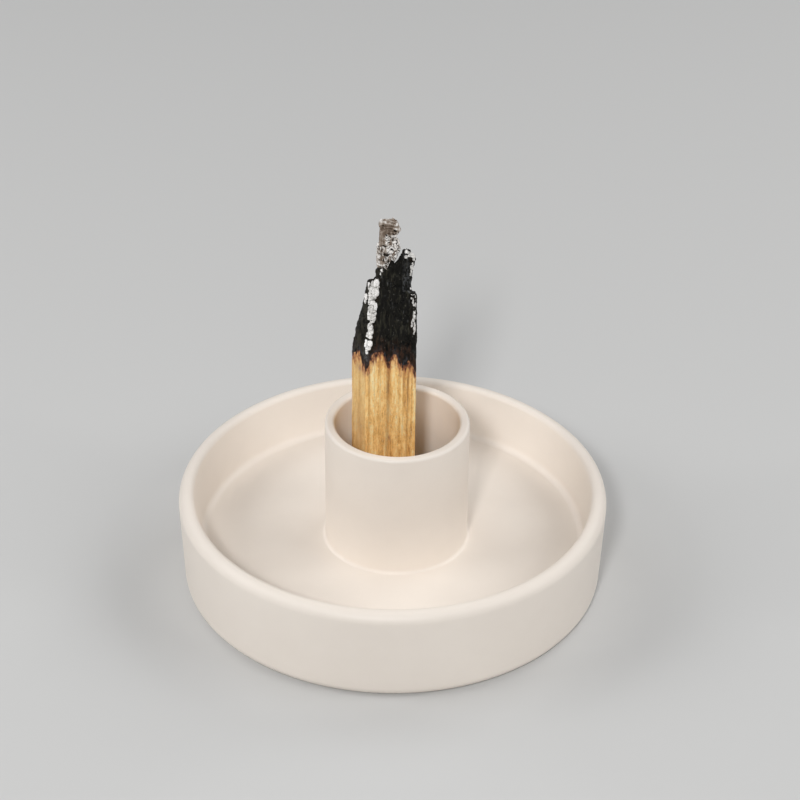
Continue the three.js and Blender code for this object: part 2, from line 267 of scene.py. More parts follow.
sky = bpy.data.worlds.new("sky")
sky.use_nodes = True
bpy.context.scene.world = sky
background = sky.node_tree.nodes["Background"]
background.inputs["Color"].default_value = (*SKY_COLOUR, 1)
background.inputs["Strength"].default_value = SKY_STRENGTH
bpy.context.scene.view_settings.view_transform = "Standard"

floor_corners = [(-1, -1), (1, -1), (1, 1), (-1, 1)]
floor_mesh = bpy.data.meshes.new("floor")
floor_mesh.from_pydata([(x * FLOOR_HALF, y * FLOOR_HALF, -FLOOR_DROP) for x, y in floor_corners], [],
                       [(0, 1, 2, 3)])
floor = bpy.data.objects.new("floor", floor_mesh)
bpy.context.scene.collection.objects.link(floor)
matte = Finish("matte_floor")
floor_mesh.materials.append(matte.shade(base_color=(*FLOOR_COLOUR, 1), roughness=0.9))
print("floor:", 2 * FLOOR_HALF, "m wide")

# %% [markdown]
# ## Grids, noise and cracks
# Every piece here is a stack of rings: a grid whose one parameter runs round the piece and whose
# other runs along it. Sculpting by hand would also work, but a formula can be changed and read. The
# helpers turn such a grid into a mesh, and give it the roughness of wood, coal and ash.

# %% Turn rings into a closed mesh
def skin(name, rings, marks):
    """A closed mesh over rings of points in millimetres, indexed by ring, place round it and axis.
    Each ring joins the next with four-sided faces, and a fan closes the first and the last ring.
    Marks are numbers for each point, kept on the mesh under their names."""
    count, around = rings.shape[:2]
    points = np.concatenate([rings.reshape(-1, 3), rings[[0, -1]].mean(axis=1)]) * MM
    k, i = np.meshgrid(np.arange(count - 1), np.arange(around), indexing="ij")
    here, beside = k * around + i, k * around + (i + 1) % around
    quads = np.stack([here, beside, beside + around, here + around], axis=-1).reshape(-1, 4)
    i, following, last = np.arange(around), (np.arange(around) + 1) % around, (count - 1) * around
    foot = np.stack([np.full(around, count * around), following, i], axis=-1)
    head = np.stack([np.full(around, count * around + 1), last + i, last + following], axis=-1)
    mesh = bpy.data.meshes.new(name)
    mesh.from_pydata(points.tolist(), [], quads.tolist() + foot.tolist() + head.tolist())
    mesh.shade_smooth()
    for mark, values in marks.items():
        flat = np.concatenate([values.ravel(), values[[0, -1]].mean(axis=1)])
        mesh.attributes.new(mark, "FLOAT", "POINT").data.foreach_set("value", flat.astype(np.float32))
    piece = bpy.data.objects.new(name, mesh)
    bpy.context.scene.collection.objects.link(piece)
    size = (points.max(axis=0) - points.min(axis=0)) / MM
    print(f"{name}: {2 * len(quads) + 2 * around} triangles, {size.round(2)} mm")
    return piece


def dress(piece, body, nodes, material):
    """Gives a piece what it is made of, hangs it on its body, and hides the CAD nodes it stands for, if any.
    """
    piece.data.materials.append(material)
    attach(piece, body)
    if nodes:
        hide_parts(*nodes)


print("a piece is a grid of rings, closed at both ends")

# %% Normals and soft steps
TINY = 1e-9


def unit(vectors):
    """The same directions with a length of 1."""
    return vectors / np.maximum(np.linalg.norm(vectors, axis=-1, keepdims=True), TINY)


def outward(rings):
    """Unit normals of a grid: the cross product of the step round it and the step along it."""
    round_step = np.roll(rings, -1, axis=1) - np.roll(rings, 1, axis=1)
    return unit(np.cross(round_step, np.gradient(rings, axis=0)))


def soft_step(value, low, high):
    """0 under low, 1 over high, and an S curve between: 3t² - 2t³."""
    share = np.clip((value - low) / (high - low), 0, 1)
    return share * share * (3 - 2 * share)


def stretch(low, high, share):
    """The value at a share that runs from -1 at the low side to 1 at the high side."""
    return low + (high - low) * (share + 1) / 2


print("a quarter of the way up a soft step:", soft_step(0.25, 0, 1))

# %% Noise
LATTICE = 32


def noise(points, size, seed):
    """Smooth noise from about -1 to 1. Each corner of a lattice of boxes, of the given size in
    millimetres, has a random slope, and the slopes' heights blend as 6t⁵ - 15t⁴ + 10t³."""
    slopes = np.random.default_rng(seed).normal(size=(LATTICE, LATTICE, LATTICE, 3))
    slopes /= np.linalg.norm(slopes, axis=-1, keepdims=True)
    place = points / np.asarray(size, float)
    corner = np.floor(place).astype(int)
    share = place - corner
    ease = share ** 3 * (share * (6 * share - 15) + 10)
    total = np.zeros(points.shape[:-1])
    for step in np.ndindex(2, 2, 2):
        slope = slopes[tuple(np.moveaxis((corner + step) % LATTICE, -1, 0))]
        weight = np.prod(np.where(step, ease, 1 - ease), axis=-1)
        total += weight * np.sum(slope * (share - step), axis=-1)
    return 1.6 * total


def layered(points, size, seed, layers=3, fade=0.5):
    """Noise on noise: each layer has half the size of the one before it, and fades."""
    size = np.asarray(size, float)
    return sum(fade ** k * noise(points, size / 2 ** k, seed + k) for k in range(layers))


print("noise repeats after", LATTICE, "boxes")


# %% Cells and cracks
def cells(points, size, seed):
    """A random spot lies in each box of a lattice. Gives how much further the second nearest spot
    is than the nearest, which is 0 along the borders between cells, and the nearest's own number."""
    rng = np.random.default_rng(seed)
    centres, numbers = rng.random((LATTICE, LATTICE, LATTICE, 3)), rng.random((LATTICE,) * 3)
    place = points / np.asarray(size, float)
    corner = np.floor(place).astype(int)
    distances, found = [], []
    for step in np.ndindex(3, 3, 3):
        box = corner + step - 1
        index = tuple(np.moveaxis(box % LATTICE, -1, 0))
        distances.append(np.linalg.norm(box + centres[index] - place, axis=-1))
        found.append(numbers[index])
    order = np.argsort(distances, axis=0)[:2]
    nearest, second = np.take_along_axis(np.array(distances), order, axis=0)
    return second - nearest, np.take_along_axis(np.array(found), order[:1], axis=0)[0]


def crack(border, width):
    """1 in the middle of a crack and 0 a few widths away: the bell curve of border / width."""
    return np.exp(-((border / width) ** 2))


print("a crack one width from its middle:", crack(1, 1).round(3))

# %% [markdown]
# ## Dish and cup
# The dish and its cup are one fired piece. It could be two turned shapes joined with a boolean, but
# that leaves a hard seam at the cup's foot. Here one profile runs from the middle of the underside
# out over the foot ring, up the wall, across the floor, up the cup and down its bore. Each point of
# it is turned into a ring, and the rings' centre slides to the cup's centre as they cross the floor.


# %% Lines with rounded corners
def rounded_line(corners, steps=9):
    """A line through corners, each with a radius, a height, the centre's shift and a round. A round
    becomes an arc that touches both sides: its centre is round / sin(half the angle) from the
    corner."""
    line = [np.array(corners[0][:3])]
    for before, (*corner, bend), after in zip(corners, corners[1:], corners[2:]):
        spot = np.array(corner[:2])
        back, on = (np.array(end[:2]) - spot for end in (before, after))
        back, on = back / np.linalg.norm(back), on / np.linalg.norm(on)
        half = np.arccos(np.clip(back @ on, -1, 1)) / 2
        middle = spot + (back + on) / np.linalg.norm(back + on) * bend / np.sin(half)
        start, end = (spot + way * bend / np.tan(half) - middle for way in (back, on))
        angle = np.arctan2(start[0] * end[1] - start[1] * end[0], start @ end)
        angles = np.arctan2(start[1], start[0]) + angle * np.linspace(0, 1, steps + 1)
        arc = middle + bend * np.stack([np.cos(angles), np.sin(angles)], axis=-1)
        line += [np.array([*point, corner[2]]) for point in arc]
    return np.array(line + [np.array(corners[-1][:3])])


def filled(line, longest):
    """The same line with its long stretches divided evenly, no part longer than given."""
    lengths = np.linalg.norm(np.diff(line[:, :2], axis=0), axis=1)
    parts = np.maximum(np.ceil(lengths / longest).astype(int), 1)
    places = np.repeat(np.arange(len(parts)), parts)
    shares = np.concatenate([np.arange(count) / count for count in parts])
    places = np.append(places + shares, len(parts))
    return np.stack([np.interp(places, np.arange(len(line)), column) for column in line.T], axis=-1)


elbow = [(0, 0, 0, 0), (1, 0, 0, 0.5), (1, 1, 0, 0)]
print("points of an elbow with a round:", len(rounded_line(elbow)))

# %% Profile of the dish and cup
holder_low, holder_high = (np.array(corner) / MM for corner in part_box("holder_body"))
RIM_RADIUS = (holder_high[0] - holder_low[0]) / 2
CUP_HEIGHT = holder_high[2]
BASE_RADIUS = 48.9
DISH_HEIGHT = 23.2
RIM_WALL = 3.6
FLOOR_HEIGHT = 10.3
FLOOR_RADIUS = 44.8
FOOT_RING = 7
RECESS = 2.4
BASE_ROUND = 2.5
CUP_RADIUS = 16.65
CUP_WALL = 2.3
CUP_SHIFT = 0.9
BORE_DEPTH = 33.2

bore_radius = CUP_RADIUS - CUP_WALL
bore_floor = CUP_HEIGHT - BORE_DEPTH
ring_inner = BASE_RADIUS - BASE_ROUND - FOOT_RING
# Each corner: radius, height, the centre's shift, and the radius of its round
holder_corners = [
    (0, RECESS, 0, 0),
    (ring_inner, RECESS, 0, 0.8),
    (ring_inner, 0, 0, 0.8),
    (BASE_RADIUS, 0, 0, BASE_ROUND),
    (RIM_RADIUS, DISH_HEIGHT, 0, 2.3),
    (RIM_RADIUS - RIM_WALL, DISH_HEIGHT, 0, 1.2),
    (FLOOR_RADIUS, FLOOR_HEIGHT, 0, 1.8),
    (CUP_RADIUS, FLOOR_HEIGHT, CUP_SHIFT, 0.8),
    (CUP_RADIUS, CUP_HEIGHT, CUP_SHIFT, 0.75),
    (bore_radius, CUP_HEIGHT, CUP_SHIFT, 0.75),
    (bore_radius, bore_floor, CUP_SHIFT, 1.5),
    (0, bore_floor, CUP_SHIFT, 0),
]
profile = filled(rounded_line(holder_corners), longest=0.75)
print("profile points:", len(profile))

# %% Turn the profile into rings
HOLDER_SIDES = 240
THROWING_WAVE = 0.035


def turned_rings(profile, sides):
    """Rings of a turned shape: x = shift + radius cos a, y = radius sin a, z = height. A faint slow
    wave along the outward normal keeps the fired surface from being perfect. It fades out at the
    foot, which stays flat."""
    angles = 2 * np.pi * np.arange(sides) / sides
    radius, height, shift = (column[:, None] for column in profile.T)
    rings = np.stack(np.broadcast_arrays(
        shift + radius * np.cos(angles), radius * np.sin(angles), height), axis=-1)
    wave = layered(rings, (16, 16, 16), seed=3, layers=3)
    standing = soft_step(height, 0.3, 1.2)
    return rings + outward(rings) * (THROWING_WAVE * standing * wave)[..., None]


ends = slice(1, -1)
dish = skin("dish_with_cup", turned_rings(profile[ends], HOLDER_SIDES), {})

# %% [markdown]
# ### Ceramic finish
# The clay body is a warm ivory and unglazed to the eye, but it has a low, satin shine that draws
# thin bright lines along its rounds. A flat colour would look like plastic. Slow clouds of a
# slightly darker tone, a faint speckle and a fine grain in the bump make it fired clay.


# %% Make the ceramic
def ceramic():
    """Ivory clay: two close tones in slow clouds, faint specks, and a satin surface."""
    finish = Finish("ivory_ceramic")
    clouds = finish.noise((0.06, 0.06, 0.06), detail=4, roughness=0.6)
    specks = finish.between(finish.noise((3.1, 3.1, 3.1), detail=2), 0.66, 0.78)
    tone = finish.coats((0.80, 0.725, 0.650), [
        (clouds, (0.87, 0.80, 0.725)),
        (specks * 0.10, (0.52, 0.42, 0.33)),
    ])
    grain = finish.noise((5, 5, 5), detail=4, roughness=0.65)
    pits = finish.between(finish.noise((1.7, 1.7, 1.7), detail=1), 0.70, 0.80)
    rough = 0.40 + 0.12 * clouds + 0.06 * grain
    normal = finish.bump(grain - 0.6 * pits, 0.012)
    return finish.shade(base_color=tone, roughness=rough, normal=normal)


dress(dish, "holder", ["holder_body"], ceramic())

# %% [markdown]
# ## The stick's section
# Such sticks are split from a log, not sawn. The section is a rectangle with one corner split away,
# its corners softened, and grooves run along the faces where the fibres tore. Every ring of the wood
# and of the burnt head is this section, stretched between a left, right, front and back limit.

# %% Section and limits
wood_low, wood_high = (np.array(corner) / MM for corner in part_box("stick_wood"))
HALF_WIDTH = (wood_high[0] - wood_low[0]) / 2
HALF_DEPTH = (wood_high[1] - wood_low[1]) / 2
STICK_X = (wood_high[0] + wood_low[0]) / 2
WOOD_HEIGHT = 54.2
WOOD_TOP = wood_low[2] + WOOD_HEIGHT
STICK_ROUND = 0.6
FACET_WIDTH = 3.6
FACET_DEPTH = 3.4
STICK_AROUND = 300
AROUND = np.linspace(0, 1, STICK_AROUND, endpoint=False)


def outline(steps=14, places=3000):
    """The section's outline at even distances: straight sides joined by parabolas."""
    corners = np.array([
        (FACET_WIDTH - HALF_WIDTH, -HALF_DEPTH),
        (HALF_WIDTH, -HALF_DEPTH),
        (HALF_WIDTH, HALF_DEPTH),
        (-HALF_WIDTH, HALF_DEPTH),
        (-HALF_WIDTH, FACET_DEPTH - HALF_DEPTH),
    ])
    sides = np.roll(corners, -1, axis=0) - corners
    ways = STICK_ROUND * sides / np.linalg.norm(sides, axis=1, keepdims=True)
    start, end = corners - np.roll(ways, 1, axis=0), corners + ways
    share = np.linspace(0, 1, steps)[:, None, None]
    arcs = (1 - share) ** 2 * start + 2 * share * (1 - share) * corners + share ** 2 * end
    line = arcs.transpose(1, 0, 2).reshape(-1, 2)
    line = np.concatenate([line, line[:1]])
    run = np.append(0, np.cumsum(np.linalg.norm(np.diff(line, axis=0), axis=1)))
    wanted = np.linspace(0, run[-1], places, endpoint=False)
    return np.stack([np.interp(wanted, run, line[:, axis]) for axis in (0, 1)], axis=-1)


OUTLINE = outline()


def section(around):
    """The outline's point at a share of the way round it, as shares of half width and depth."""
    places = np.linspace(0, 1, len(OUTLINE), endpoint=False)
    x, y = (np.interp(around % 1, places, OUTLINE[:, axis], period=1) for axis in (0, 1))
    return x / HALF_WIDTH, y / HALF_DEPTH


print("stick section:", round(2 * HALF_WIDTH, 2), "x", round(2 * HALF_DEPTH, 2), "mm")

# %% Limits and grooves
# The head narrows from the wood's own section to its shoulder
TAPER_DEPTH = 2.8
SHOULDER = 18.3
HEAD_FALL = 0.6
FULL = np.array([-HALF_WIDTH, HALF_WIDTH, -HALF_DEPTH, HALF_DEPTH, 0])
SHOULDER_LIMITS = np.array([3.6 - HALF_WIDTH, HALF_WIDTH - 0.2, -3.6, 1.6, HEAD_FALL])

# Each groove: place across the face, half width and depth
FRONT_GROOVES = [(0.8, 0.75, 0.55), (5.4, 0.6, 0.35), (-2.9, 0.35, 0.16), (2.9, 0.3, 0.14)]
BACK_GROOVES = [(-2.6, 0.9, 0.5), (3.7, 0.7, 0.4)]


def bumps(rows, x):
    """A sum of bell curves: size exp(-((x - place) / half)²)."""
    return sum(size * np.exp(-((x - place) / half) ** 2) for place, half, size in rows)


def limits(height):
    """Left, right, front, back and fall at a height over the wood's top: full below the taper, and
    then in even steps to the shoulder's."""
    share = np.clip((height + TAPER_DEPTH) / (SHOULDER + TAPER_DEPTH), 0, 1)[..., None]
    return np.moveaxis(FULL + share * (SHOULDER_LIMITS - FULL), -1, 0)


def grooves(across, y, height):
    """How far the grooves sink the front face, or the back face the other way, where y is -1 on the
    front and 1 on the back. Up the head they get shallower."""
    on_face = np.abs(y) > 1 - STICK_ROUND / HALF_DEPTH
    sunk = np.where(y < 0, bumps(FRONT_GROOVES, across), -bumps(BACK_GROOVES, across)) * on_face
    return sunk * (1 - 0.6 * soft_step(height, 0, SHOULDER))


def stick_side(around, height):
    """A point of the stick's side in its own frame: across, deep, and over the wood's top."""
    x, y = section(around)
    left, right, front, back, fall = limits(height)
    across, deep = stretch(left, right, x), stretch(front, back, y)
    up = height - fall * (deep - front)
    return np.stack([across, deep + grooves(across, y, height), up], axis=-1)


left, right = limits(np.array(SHOULDER))[:2]
print("width at the shoulder, mm:", round(right - left, 2))

# %% [markdown]
# ## Fibres and the char line
# Split wood has fibres that run along it and wander a little. The same relief is used on the wood
# and on the coal, so that the burnt head grows out of the stick with no step. Between the two the
# fire has eaten down the face in tongues: the char line is a height for each place in the section.


# %% Fibre relief
# Each layer of fibres: height, and the size and seed of its noise
FIBRES = [(0.13, (1.5, 1.5, 18), 21), (0.10, (0.8, 0.8, 6), 22), (0.06, (0.5, 0.5, 2.4), 23)]


def wander(points):
    """Points moved sideways by slow noise along the stick, so that straight fibres wave."""
    slow = points * (0.12, 0.12, 1)
    sway = np.stack([noise(slow, (3, 3, 11), seed) for seed in (11, 12)], axis=-1)
    return points + np.concatenate([0.28 * sway, np.zeros_like(sway[..., :1])], axis=-1)


def fibres(points):
    """Height of the fibres in millimetres: long noises, fine across the stick and slow along it,
    less the folds of one more, which tear them."""
    bent = wander(points)
    ridges = sum(height * noise(bent, size, seed) for height, size, seed in FIBRES)
    return ridges - 0.05 * np.abs(noise(bent, (0.9, 0.9, 4), 24))


heights = fibres(stick_side(AROUND, np.zeros(STICK_AROUND)))
print("fibres on one ring, mm:", heights.min().round(2), "to", heights.max().round(2))

# %% Char line
# Each tongue: place across the face, half width and length
FRONT_TONGUES = [(-4, 1.1, 4.2), (0.9, 0.7, 3.2), (4.7, 1.8, 2.7), (7.2, 0.7, 3.2)]
BACK_TONGUES = [(-6, 1.4, 2.6), (-2.6, 1, 4), (3.7, 1.3, 3.2)]
EDGE_DROP = 1.6
BACK_DROP = 3
CORE_RISE = 3
LINE_FRAY = 0.45


def char_line(x, y):
    """Height of the char line over the wood's top. It drops at the sides by the sixth power and
    steadily to the back, tongues run down the faces, noise frays it, and a core of wood stands up in
    the middle."""
    core = np.maximum(0, 1 - (x / HALF_WIDTH) ** 2) * np.maximum(0, 1 - (y / HALF_DEPTH) ** 2)
    on_face = np.minimum(1, np.abs(y) / HALF_DEPTH)
    tongues = np.where(y < 0, bumps(FRONT_TONGUES, x), bumps(BACK_TONGUES, x))
    drop = EDGE_DROP * (x / HALF_WIDTH) ** 6 + BACK_DROP * (y + HALF_DEPTH) / (2 * HALF_DEPTH)
    fray = LINE_FRAY * layered(np.stack([x, y, 0 * x], axis=-1), (1.2, 1.2, 1), 31) * (1 - core)
    return CORE_RISE * core - drop - on_face * tongues + fray


def line_height(around, rounds=4):
    """The height at which the side meets the char line, found by putting each answer back in."""
    height = np.zeros_like(around)
    for _ in range(rounds):
        across, deep, _ = np.moveaxis(stick_side(around, height), -1, 0)
        front, fall = limits(height)[[2, 4]]
        height = char_line(across, deep) + fall * (deep - front)
    return height


LINE_HEIGHTS = line_height(AROUND)
print("char line, mm:", LINE_HEIGHTS.min().round(1), "to", LINE_HEIGHTS.max().round(1))

# %% [markdown]
# ## Unburnt wood
# The wood is one closed surface: the flat sawn foot, a small chamfer, the split side up to the char
# line, and the core that stands up inside the coal. A beveled box with a wood picture on it would
# look right only from afar, because the light catches real fibres and grooves.

# %% Rings of the wood
WOOD_RINGS = 262
CAP_RINGS = 18
CHAMFER = 0.4
# The knot: place across, height over the wood's top, half width, half height, and how far it stands out
KNOT = [(1.84, -22.6, 0.45, 0.9, 0.32)]


def spots(rows, x, z):
    """A sum of bell curves on a face: size exp(-((x - x0) / half x)² - ((z - z0) / half z)²)."""
    return sum(size * np.exp(-((x - x0) / half_x) ** 2 - ((z - z0) / half_z) ** 2)
               for x0, z0, half_x, half_z, size in rows)


def end_rings(edge, count, height):
    """Rings that shrink an edge ring evenly to nearly its middle, with their height from a function
    of the place."""
    middle = edge[:, :2].mean(axis=0)
    shares = np.linspace(1, 0.03, count)[:, None, None]
    flat = middle + shares * (edge[:, :2] - middle)
    return np.concatenate([flat, height(flat[..., 0], flat[..., 1])[..., None]], axis=-1)


def wood_rings():
    """Foot, side and core of the wood, in the stick's own frame."""
    share = np.linspace(0, 1, WOOD_RINGS)[:, None]
    height = -WOOD_HEIGHT + CHAMFER + share * (LINE_HEIGHTS + WOOD_HEIGHT - CHAMFER)
    side = stick_side(np.broadcast_to(AROUND, height.shape), height)
    normal = outward(side)
    knot = spots(KNOT, side[..., 0], side[..., 2]) * (side[..., 1] < 0)
    side = side + normal * (fibres(side) + knot)[..., None]
    edge = side[0] - normal[0] * CHAMFER - (0, 0, CHAMFER)
    foot = end_rings(edge, CAP_RINGS, lambda x, y: np.full(x.shape, -WOOD_HEIGHT))[::-1]
    core = end_rings(side[-1], CAP_RINGS, char_line)[1:]
    return np.concatenate([foot, side, core])


rings = wood_rings()
print("wood rings:", len(rings))

# %% Marks on the wood
# Each dark groove: place across the front, half width and darkness
DARK_GROOVES = [(0.95, 0.42, 1), (3.3, 0.14, 0.45), (4.35, 0.12, 0.6), (5.4, 0.2, 1), (6.3, 0.1, 0.5),
                (-3.4, 0.2, 0.8), (-0.9, 0.12, 0.5), (-2.2, 0.1, 0.4)]
# How deep behind the front they reach, and how far under the wood's top they start and end to fade
GROOVE_REACH = 1.5
GROOVES_FADE = (9, 17)
# Each stain: place across, height over the wood's top, half width, half height and darkness
STAIN = [(-5.5, -4.8, 0.8, 1.3, 0.9), (-4.4, -5.6, 0.4, 0.8, 0.6), (1.3, -22.9, 0.22, 0.7, 1.3),
         (-5.6, -22, 1.1, 6, 0.35)]
# Where the toasted edge reaches further down: place across, half width and how far
SCORCH = [(-4.85, 0.42, 1.6), (0.95, 0.4, 0.7), (3.6, 0.35, 0.6), (6.9, 0.4, 0.5)]
# The facet's two edges, as shares of the way round the stick
FACET_START = (0.888, 0.90)
FACET_END = 1.0


def to_frame(points):
    """From the stick's own frame to the object's: its axis, and heights from the wood's top."""
    return points + (STICK_X, 0, WOOD_TOP)


def over_char_line(rings):
    """How far each point lies over the char line."""
    return rings[..., 2] - char_line(rings[..., 0], rings[..., 1])


def on_facet(rings, fade_start):
    """1 on the facet and 0 on the other sides. It fades in over the first edge, and out from a
    share of the way round to the second."""
    mark = soft_step(AROUND, *FACET_START) * (1 - soft_step(AROUND, fade_start, FACET_END))
    return np.broadcast_to(mark, rings.shape[:2])


facet = on_facet(rings, 0.992)
across, deep, _ = np.moveaxis(wander(rings), -1, 0)
groove = bumps(DARK_GROOVES, across) * (deep < -HALF_DEPTH + GROOVE_REACH) * (1 - facet)
wood_marks = {
    "over_line": over_char_line(rings) + bumps(SCORCH, rings[..., 0]) * (deep < 0),
    "facet": facet,
    "groove": groove * (1 - 0.45 * soft_step(-rings[..., 2], *GROOVES_FADE)),
    "stain": spots(STAIN, rings[..., 0], rings[..., 2]) * (deep < 0),
}
wood = skin("split_wood", to_frame(rings), wood_marks)

# %% [markdown]
# ### Wood finish
# Resinous wood is honey yellow with brown lines along the grain, short dark resin flecks, light
# flecks painted on as glints, and a paler, greener face where the corner split off. Under the char
# line the heat has toasted it from orange to red brown. The distance from the line is marked on the
# mesh, and streaks of noise fray it.


# %% Make the wood
def palo_santo():
    """Golden wood: ridges of grain with short dark flecks and light flecks painted as glints, brown
    grooves, and scorching that frays towards the char line."""
    finish = Finish("palo_santo_wood")
    broad = finish.noise((0.35, 0.35, 0.025), detail=3, roughness=0.55, distortion=0.3)
    ridges = finish.noise((0.95, 0.95, 0.08), detail=3, roughness=0.55, distortion=0.35)
    streaks = finish.noise((2.2, 2.2, 0.45), detail=3, roughness=0.65, distortion=0.3)
    flecks_and_glints = finish.noise((3.3, 3.3, 1.3), detail=2, distortion=0.4)
    grain = 0.20 * broad + 0.30 * ridges + 0.28 * streaks + 0.22 * flecks_and_glints
    tone = finish.ramp(finish.between(grain, 0.38, 0.61), [
        (0.0, (0.48, 0.22, 0.060)),
        (0.25, (0.70, 0.385, 0.115)),
        (0.55, (0.90, 0.535, 0.190)),
        (0.80, (0.96, 0.66, 0.275)),
        (1.0, (0.98, 0.79, 0.42)),
    ])
    stain = finish.mark("stain") * finish.between(streaks, 0.30, 0.60)
    groove = finish.mark("groove") * finish.between(streaks, 0.28, 0.60)
    fray = finish.noise((1.3, 1.3, 0.25), detail=3, roughness=0.6)
    dashes = finish.noise((2.1, 2.1, 0.6), detail=2, roughness=0.6)
    over = finish.mark("over_line") + 3 * fray + 8 * dashes - 6.1
    coal = finish.between(over, -0.5, 0.1)
    tone = finish.coats(tone, [
        (finish.between(flecks_and_glints, 0.60, 0.72) * 0.6, (0.40, 0.18, 0.05)),
        # Painted highlight: the light flecks stand in for glints on the grain.
        (finish.between(flecks_and_glints, 0.39, 0.30) * 0.6, (0.97, 0.76, 0.42)),
        (finish.mark("facet") * 0.42, (0.56, 0.39, 0.18)),
        (stain, (0.36, 0.20, 0.13)),
        (groove * 0.9, (0.27, 0.115, 0.03)),
        (finish.between(over, -4.8, -1.8) * 0.65, (0.56, 0.26, 0.100)),
        (finish.between(over, -3.0, -1.1) * 0.85, (0.25, 0.075, 0.032)),
        (finish.between(over, -1.8, -0.5) * 0.9, (0.065, 0.022, 0.014)),
        (coal, (0.010, 0.009, 0.008)),
    ])
    rough = 0.56 + 0.26 * streaks + 0.12 * coal
    normal = finish.bump(0.3 * ridges + 0.35 * streaks + 0.35 * flecks_and_glints, 0.15)
    return finish.shade(base_color=tone, roughness=rough, specular_ior_level=0.35, normal=normal)


dress(wood, "stick", ["stick_wood"], palo_santo())

# %% [markdown]
# ## Burnt head
# The fire has left a wedge of coal. It keeps the wood's fibres, but it has shrunk, cracked across
# the grain, and broken off in steps at its top: a shoulder on the left, a ledge that carries the ash
# column, and a narrow horn on the right. Its right corner has broken away too. One stack of rings
# goes up the side and over these steps, and lumps, fibres and cracks push it in and out.

# %% Breaks of the head
LEDGE = SHOULDER + 2.8
# Height of the break under the ash column, over the ledge, at places across the stick
ASH_LINE = [(-2.0, 0.0), (-0.1, 0.0), (0.45, -0.7), (0.95, 0.8), (1.4, 1.7), (1.9, 1.5), (2.15, 0.9),
            (2.8, 1.8), (3.2, 2.6), (3.6, 3.2), (4.0, 3.5), (4.4, 3.5), (6.95, 2.0)]
# The notch: each height, and how far the right side has broken away there
BITE = [(14.4, 0), (15.3, 1.05), (16.8, 1.3), (18.3, 0.95), (21.1, 0.5), (23.9, 0.15), (26, 0)]
BITE_GROWS = (3.5, 6.6)
# The step in the front: its left edge, the lowest height of its foot, that place across, its depth,
# and how far in front of the stick's middle it starts and is full
STEP_PLACE = 4.1
STEP_FOOT = 14.9
STEP_MIDDLE = 5.6
STEP_DEPTH = 0.7
STEP_GROWS = (0.5, 2.5)


def ash_line(x):
    """The break's height at a place across the stick, on straight lines between its points."""
    return np.interp(x, *np.transpose(ASH_LINE))


def step_edge(x, level):
    """0 left of the step and under its foot, 1 where the front has broken away, and an S curve
    between. The foot is a shallow V."""
    foot = STEP_FOOT + 0.25 * np.abs(x - STEP_MIDDLE)
    return soft_step(x, STEP_PLACE - 0.15, STEP_PLACE + 0.3) * soft_step(level, foot - 0.1, foot + 0.4)


def broken(points, level):
    """Points of the head after its right corner broke off. Level is the height before the top's
    fall to the back, so the notch falls with it."""
    x, y, z = np.moveaxis(points, -1, 0)
    bite = np.interp(level, *np.transpose(BITE)) * soft_step(x, *BITE_GROWS)
    sunk = STEP_DEPTH * step_edge(x, level) * soft_step(-y, *STEP_GROWS)
    return np.stack([x - bite, y + sunk, z], axis=-1)


print("the notch is", max(size for _, size in BITE), "mm deep")

# %% Stations of the head
HORN = LEDGE + 4.3
HORN_ROUND = 0.5
HORN_SLANT = 0.75
# Left, right, front and back of the ledge and of the horn
LEDGE_LIMITS = (-1.9, 6.95, -3.3, 1.1)
HORN_LIMITS = (3.9, 6.8, -3.15, 0.95)
SLANT_START = HORN_LIMITS[0] + 0.4
SKIRT_TOP = 1.0
SKIRT_RINGS = 30
HEAD_RINGS = 250


def stations(rings):
    """Rows of left, right, front, back, height, and how far the ash line and the horn's slant count,
    from the top of the skirt to the horn's tip, at even steps and with worn corners."""
    left, right, front, back, _ = limits(np.array(SKIRT_TOP))
    tip = np.add(HORN_LIMITS, (HORN_ROUND, -HORN_ROUND, HORN_ROUND, -HORN_ROUND))
    middle = [sum(HORN_LIMITS[:2]) / 2] * 2 + [sum(HORN_LIMITS[2:]) / 2] * 2
    rows = np.array([
        [left, right, front, back, SKIRT_TOP, 0, 0],
        [*SHOULDER_LIMITS[:4], SHOULDER, 0, 0],
        [*LEDGE_LIMITS, SHOULDER, 0, 0],
        [*LEDGE_LIMITS, LEDGE, 1, 0],
        [*HORN_LIMITS, LEDGE, 1, 0],
        [*HORN_LIMITS, HORN - HORN_ROUND, 0, 1],
        [*tip, HORN, 0, 1],
        [*middle, HORN, 0, 1],
    ])
    steps = np.abs(np.diff(rows, axis=0)) @ (0.4, 0.4, 0.2, 0.2, 1, 0, 0)
    run = np.append(0, np.cumsum(steps))
    wanted = np.linspace(0, run[-1] * 0.995, rings)
    table = np.stack([np.interp(wanted, run, column) for column in rows.T], axis=-1)
    window = np.hanning(rings // 25 * 2 + 1)[1:-1]
    padded = np.pad(table, ((len(window) // 2,) * 2, (0, 0)), mode="edge")
    worn = [np.convolve(column, window / window.sum(), mode="valid") for column in padded.T]
    return np.stack(worn, axis=-1)


def head_side(count):
    """Smooth rings up the head's side, over the shoulder and the ledge, and up to the horn's tip."""
    left, right, front, back, level, on_ledge, slant = (c[:, None] for c in stations(count)[1:].T)
    x, y = section(AROUND)
    across, deep = stretch(left, right, x), stretch(front, back, y)
    up = level - limits(level)[4] * (deep - front) + on_ledge * ash_line(across)
    up = up - slant * HORN_SLANT * np.maximum(across - SLANT_START, 0)
    sunk = grooves(across, y, level) * (level < SHOULDER)
    return broken(np.stack([across, deep + sunk, up], axis=-1), level)


print("ledge and horn over the wood, mm:", round(LEDGE, 1), round(HORN, 1))
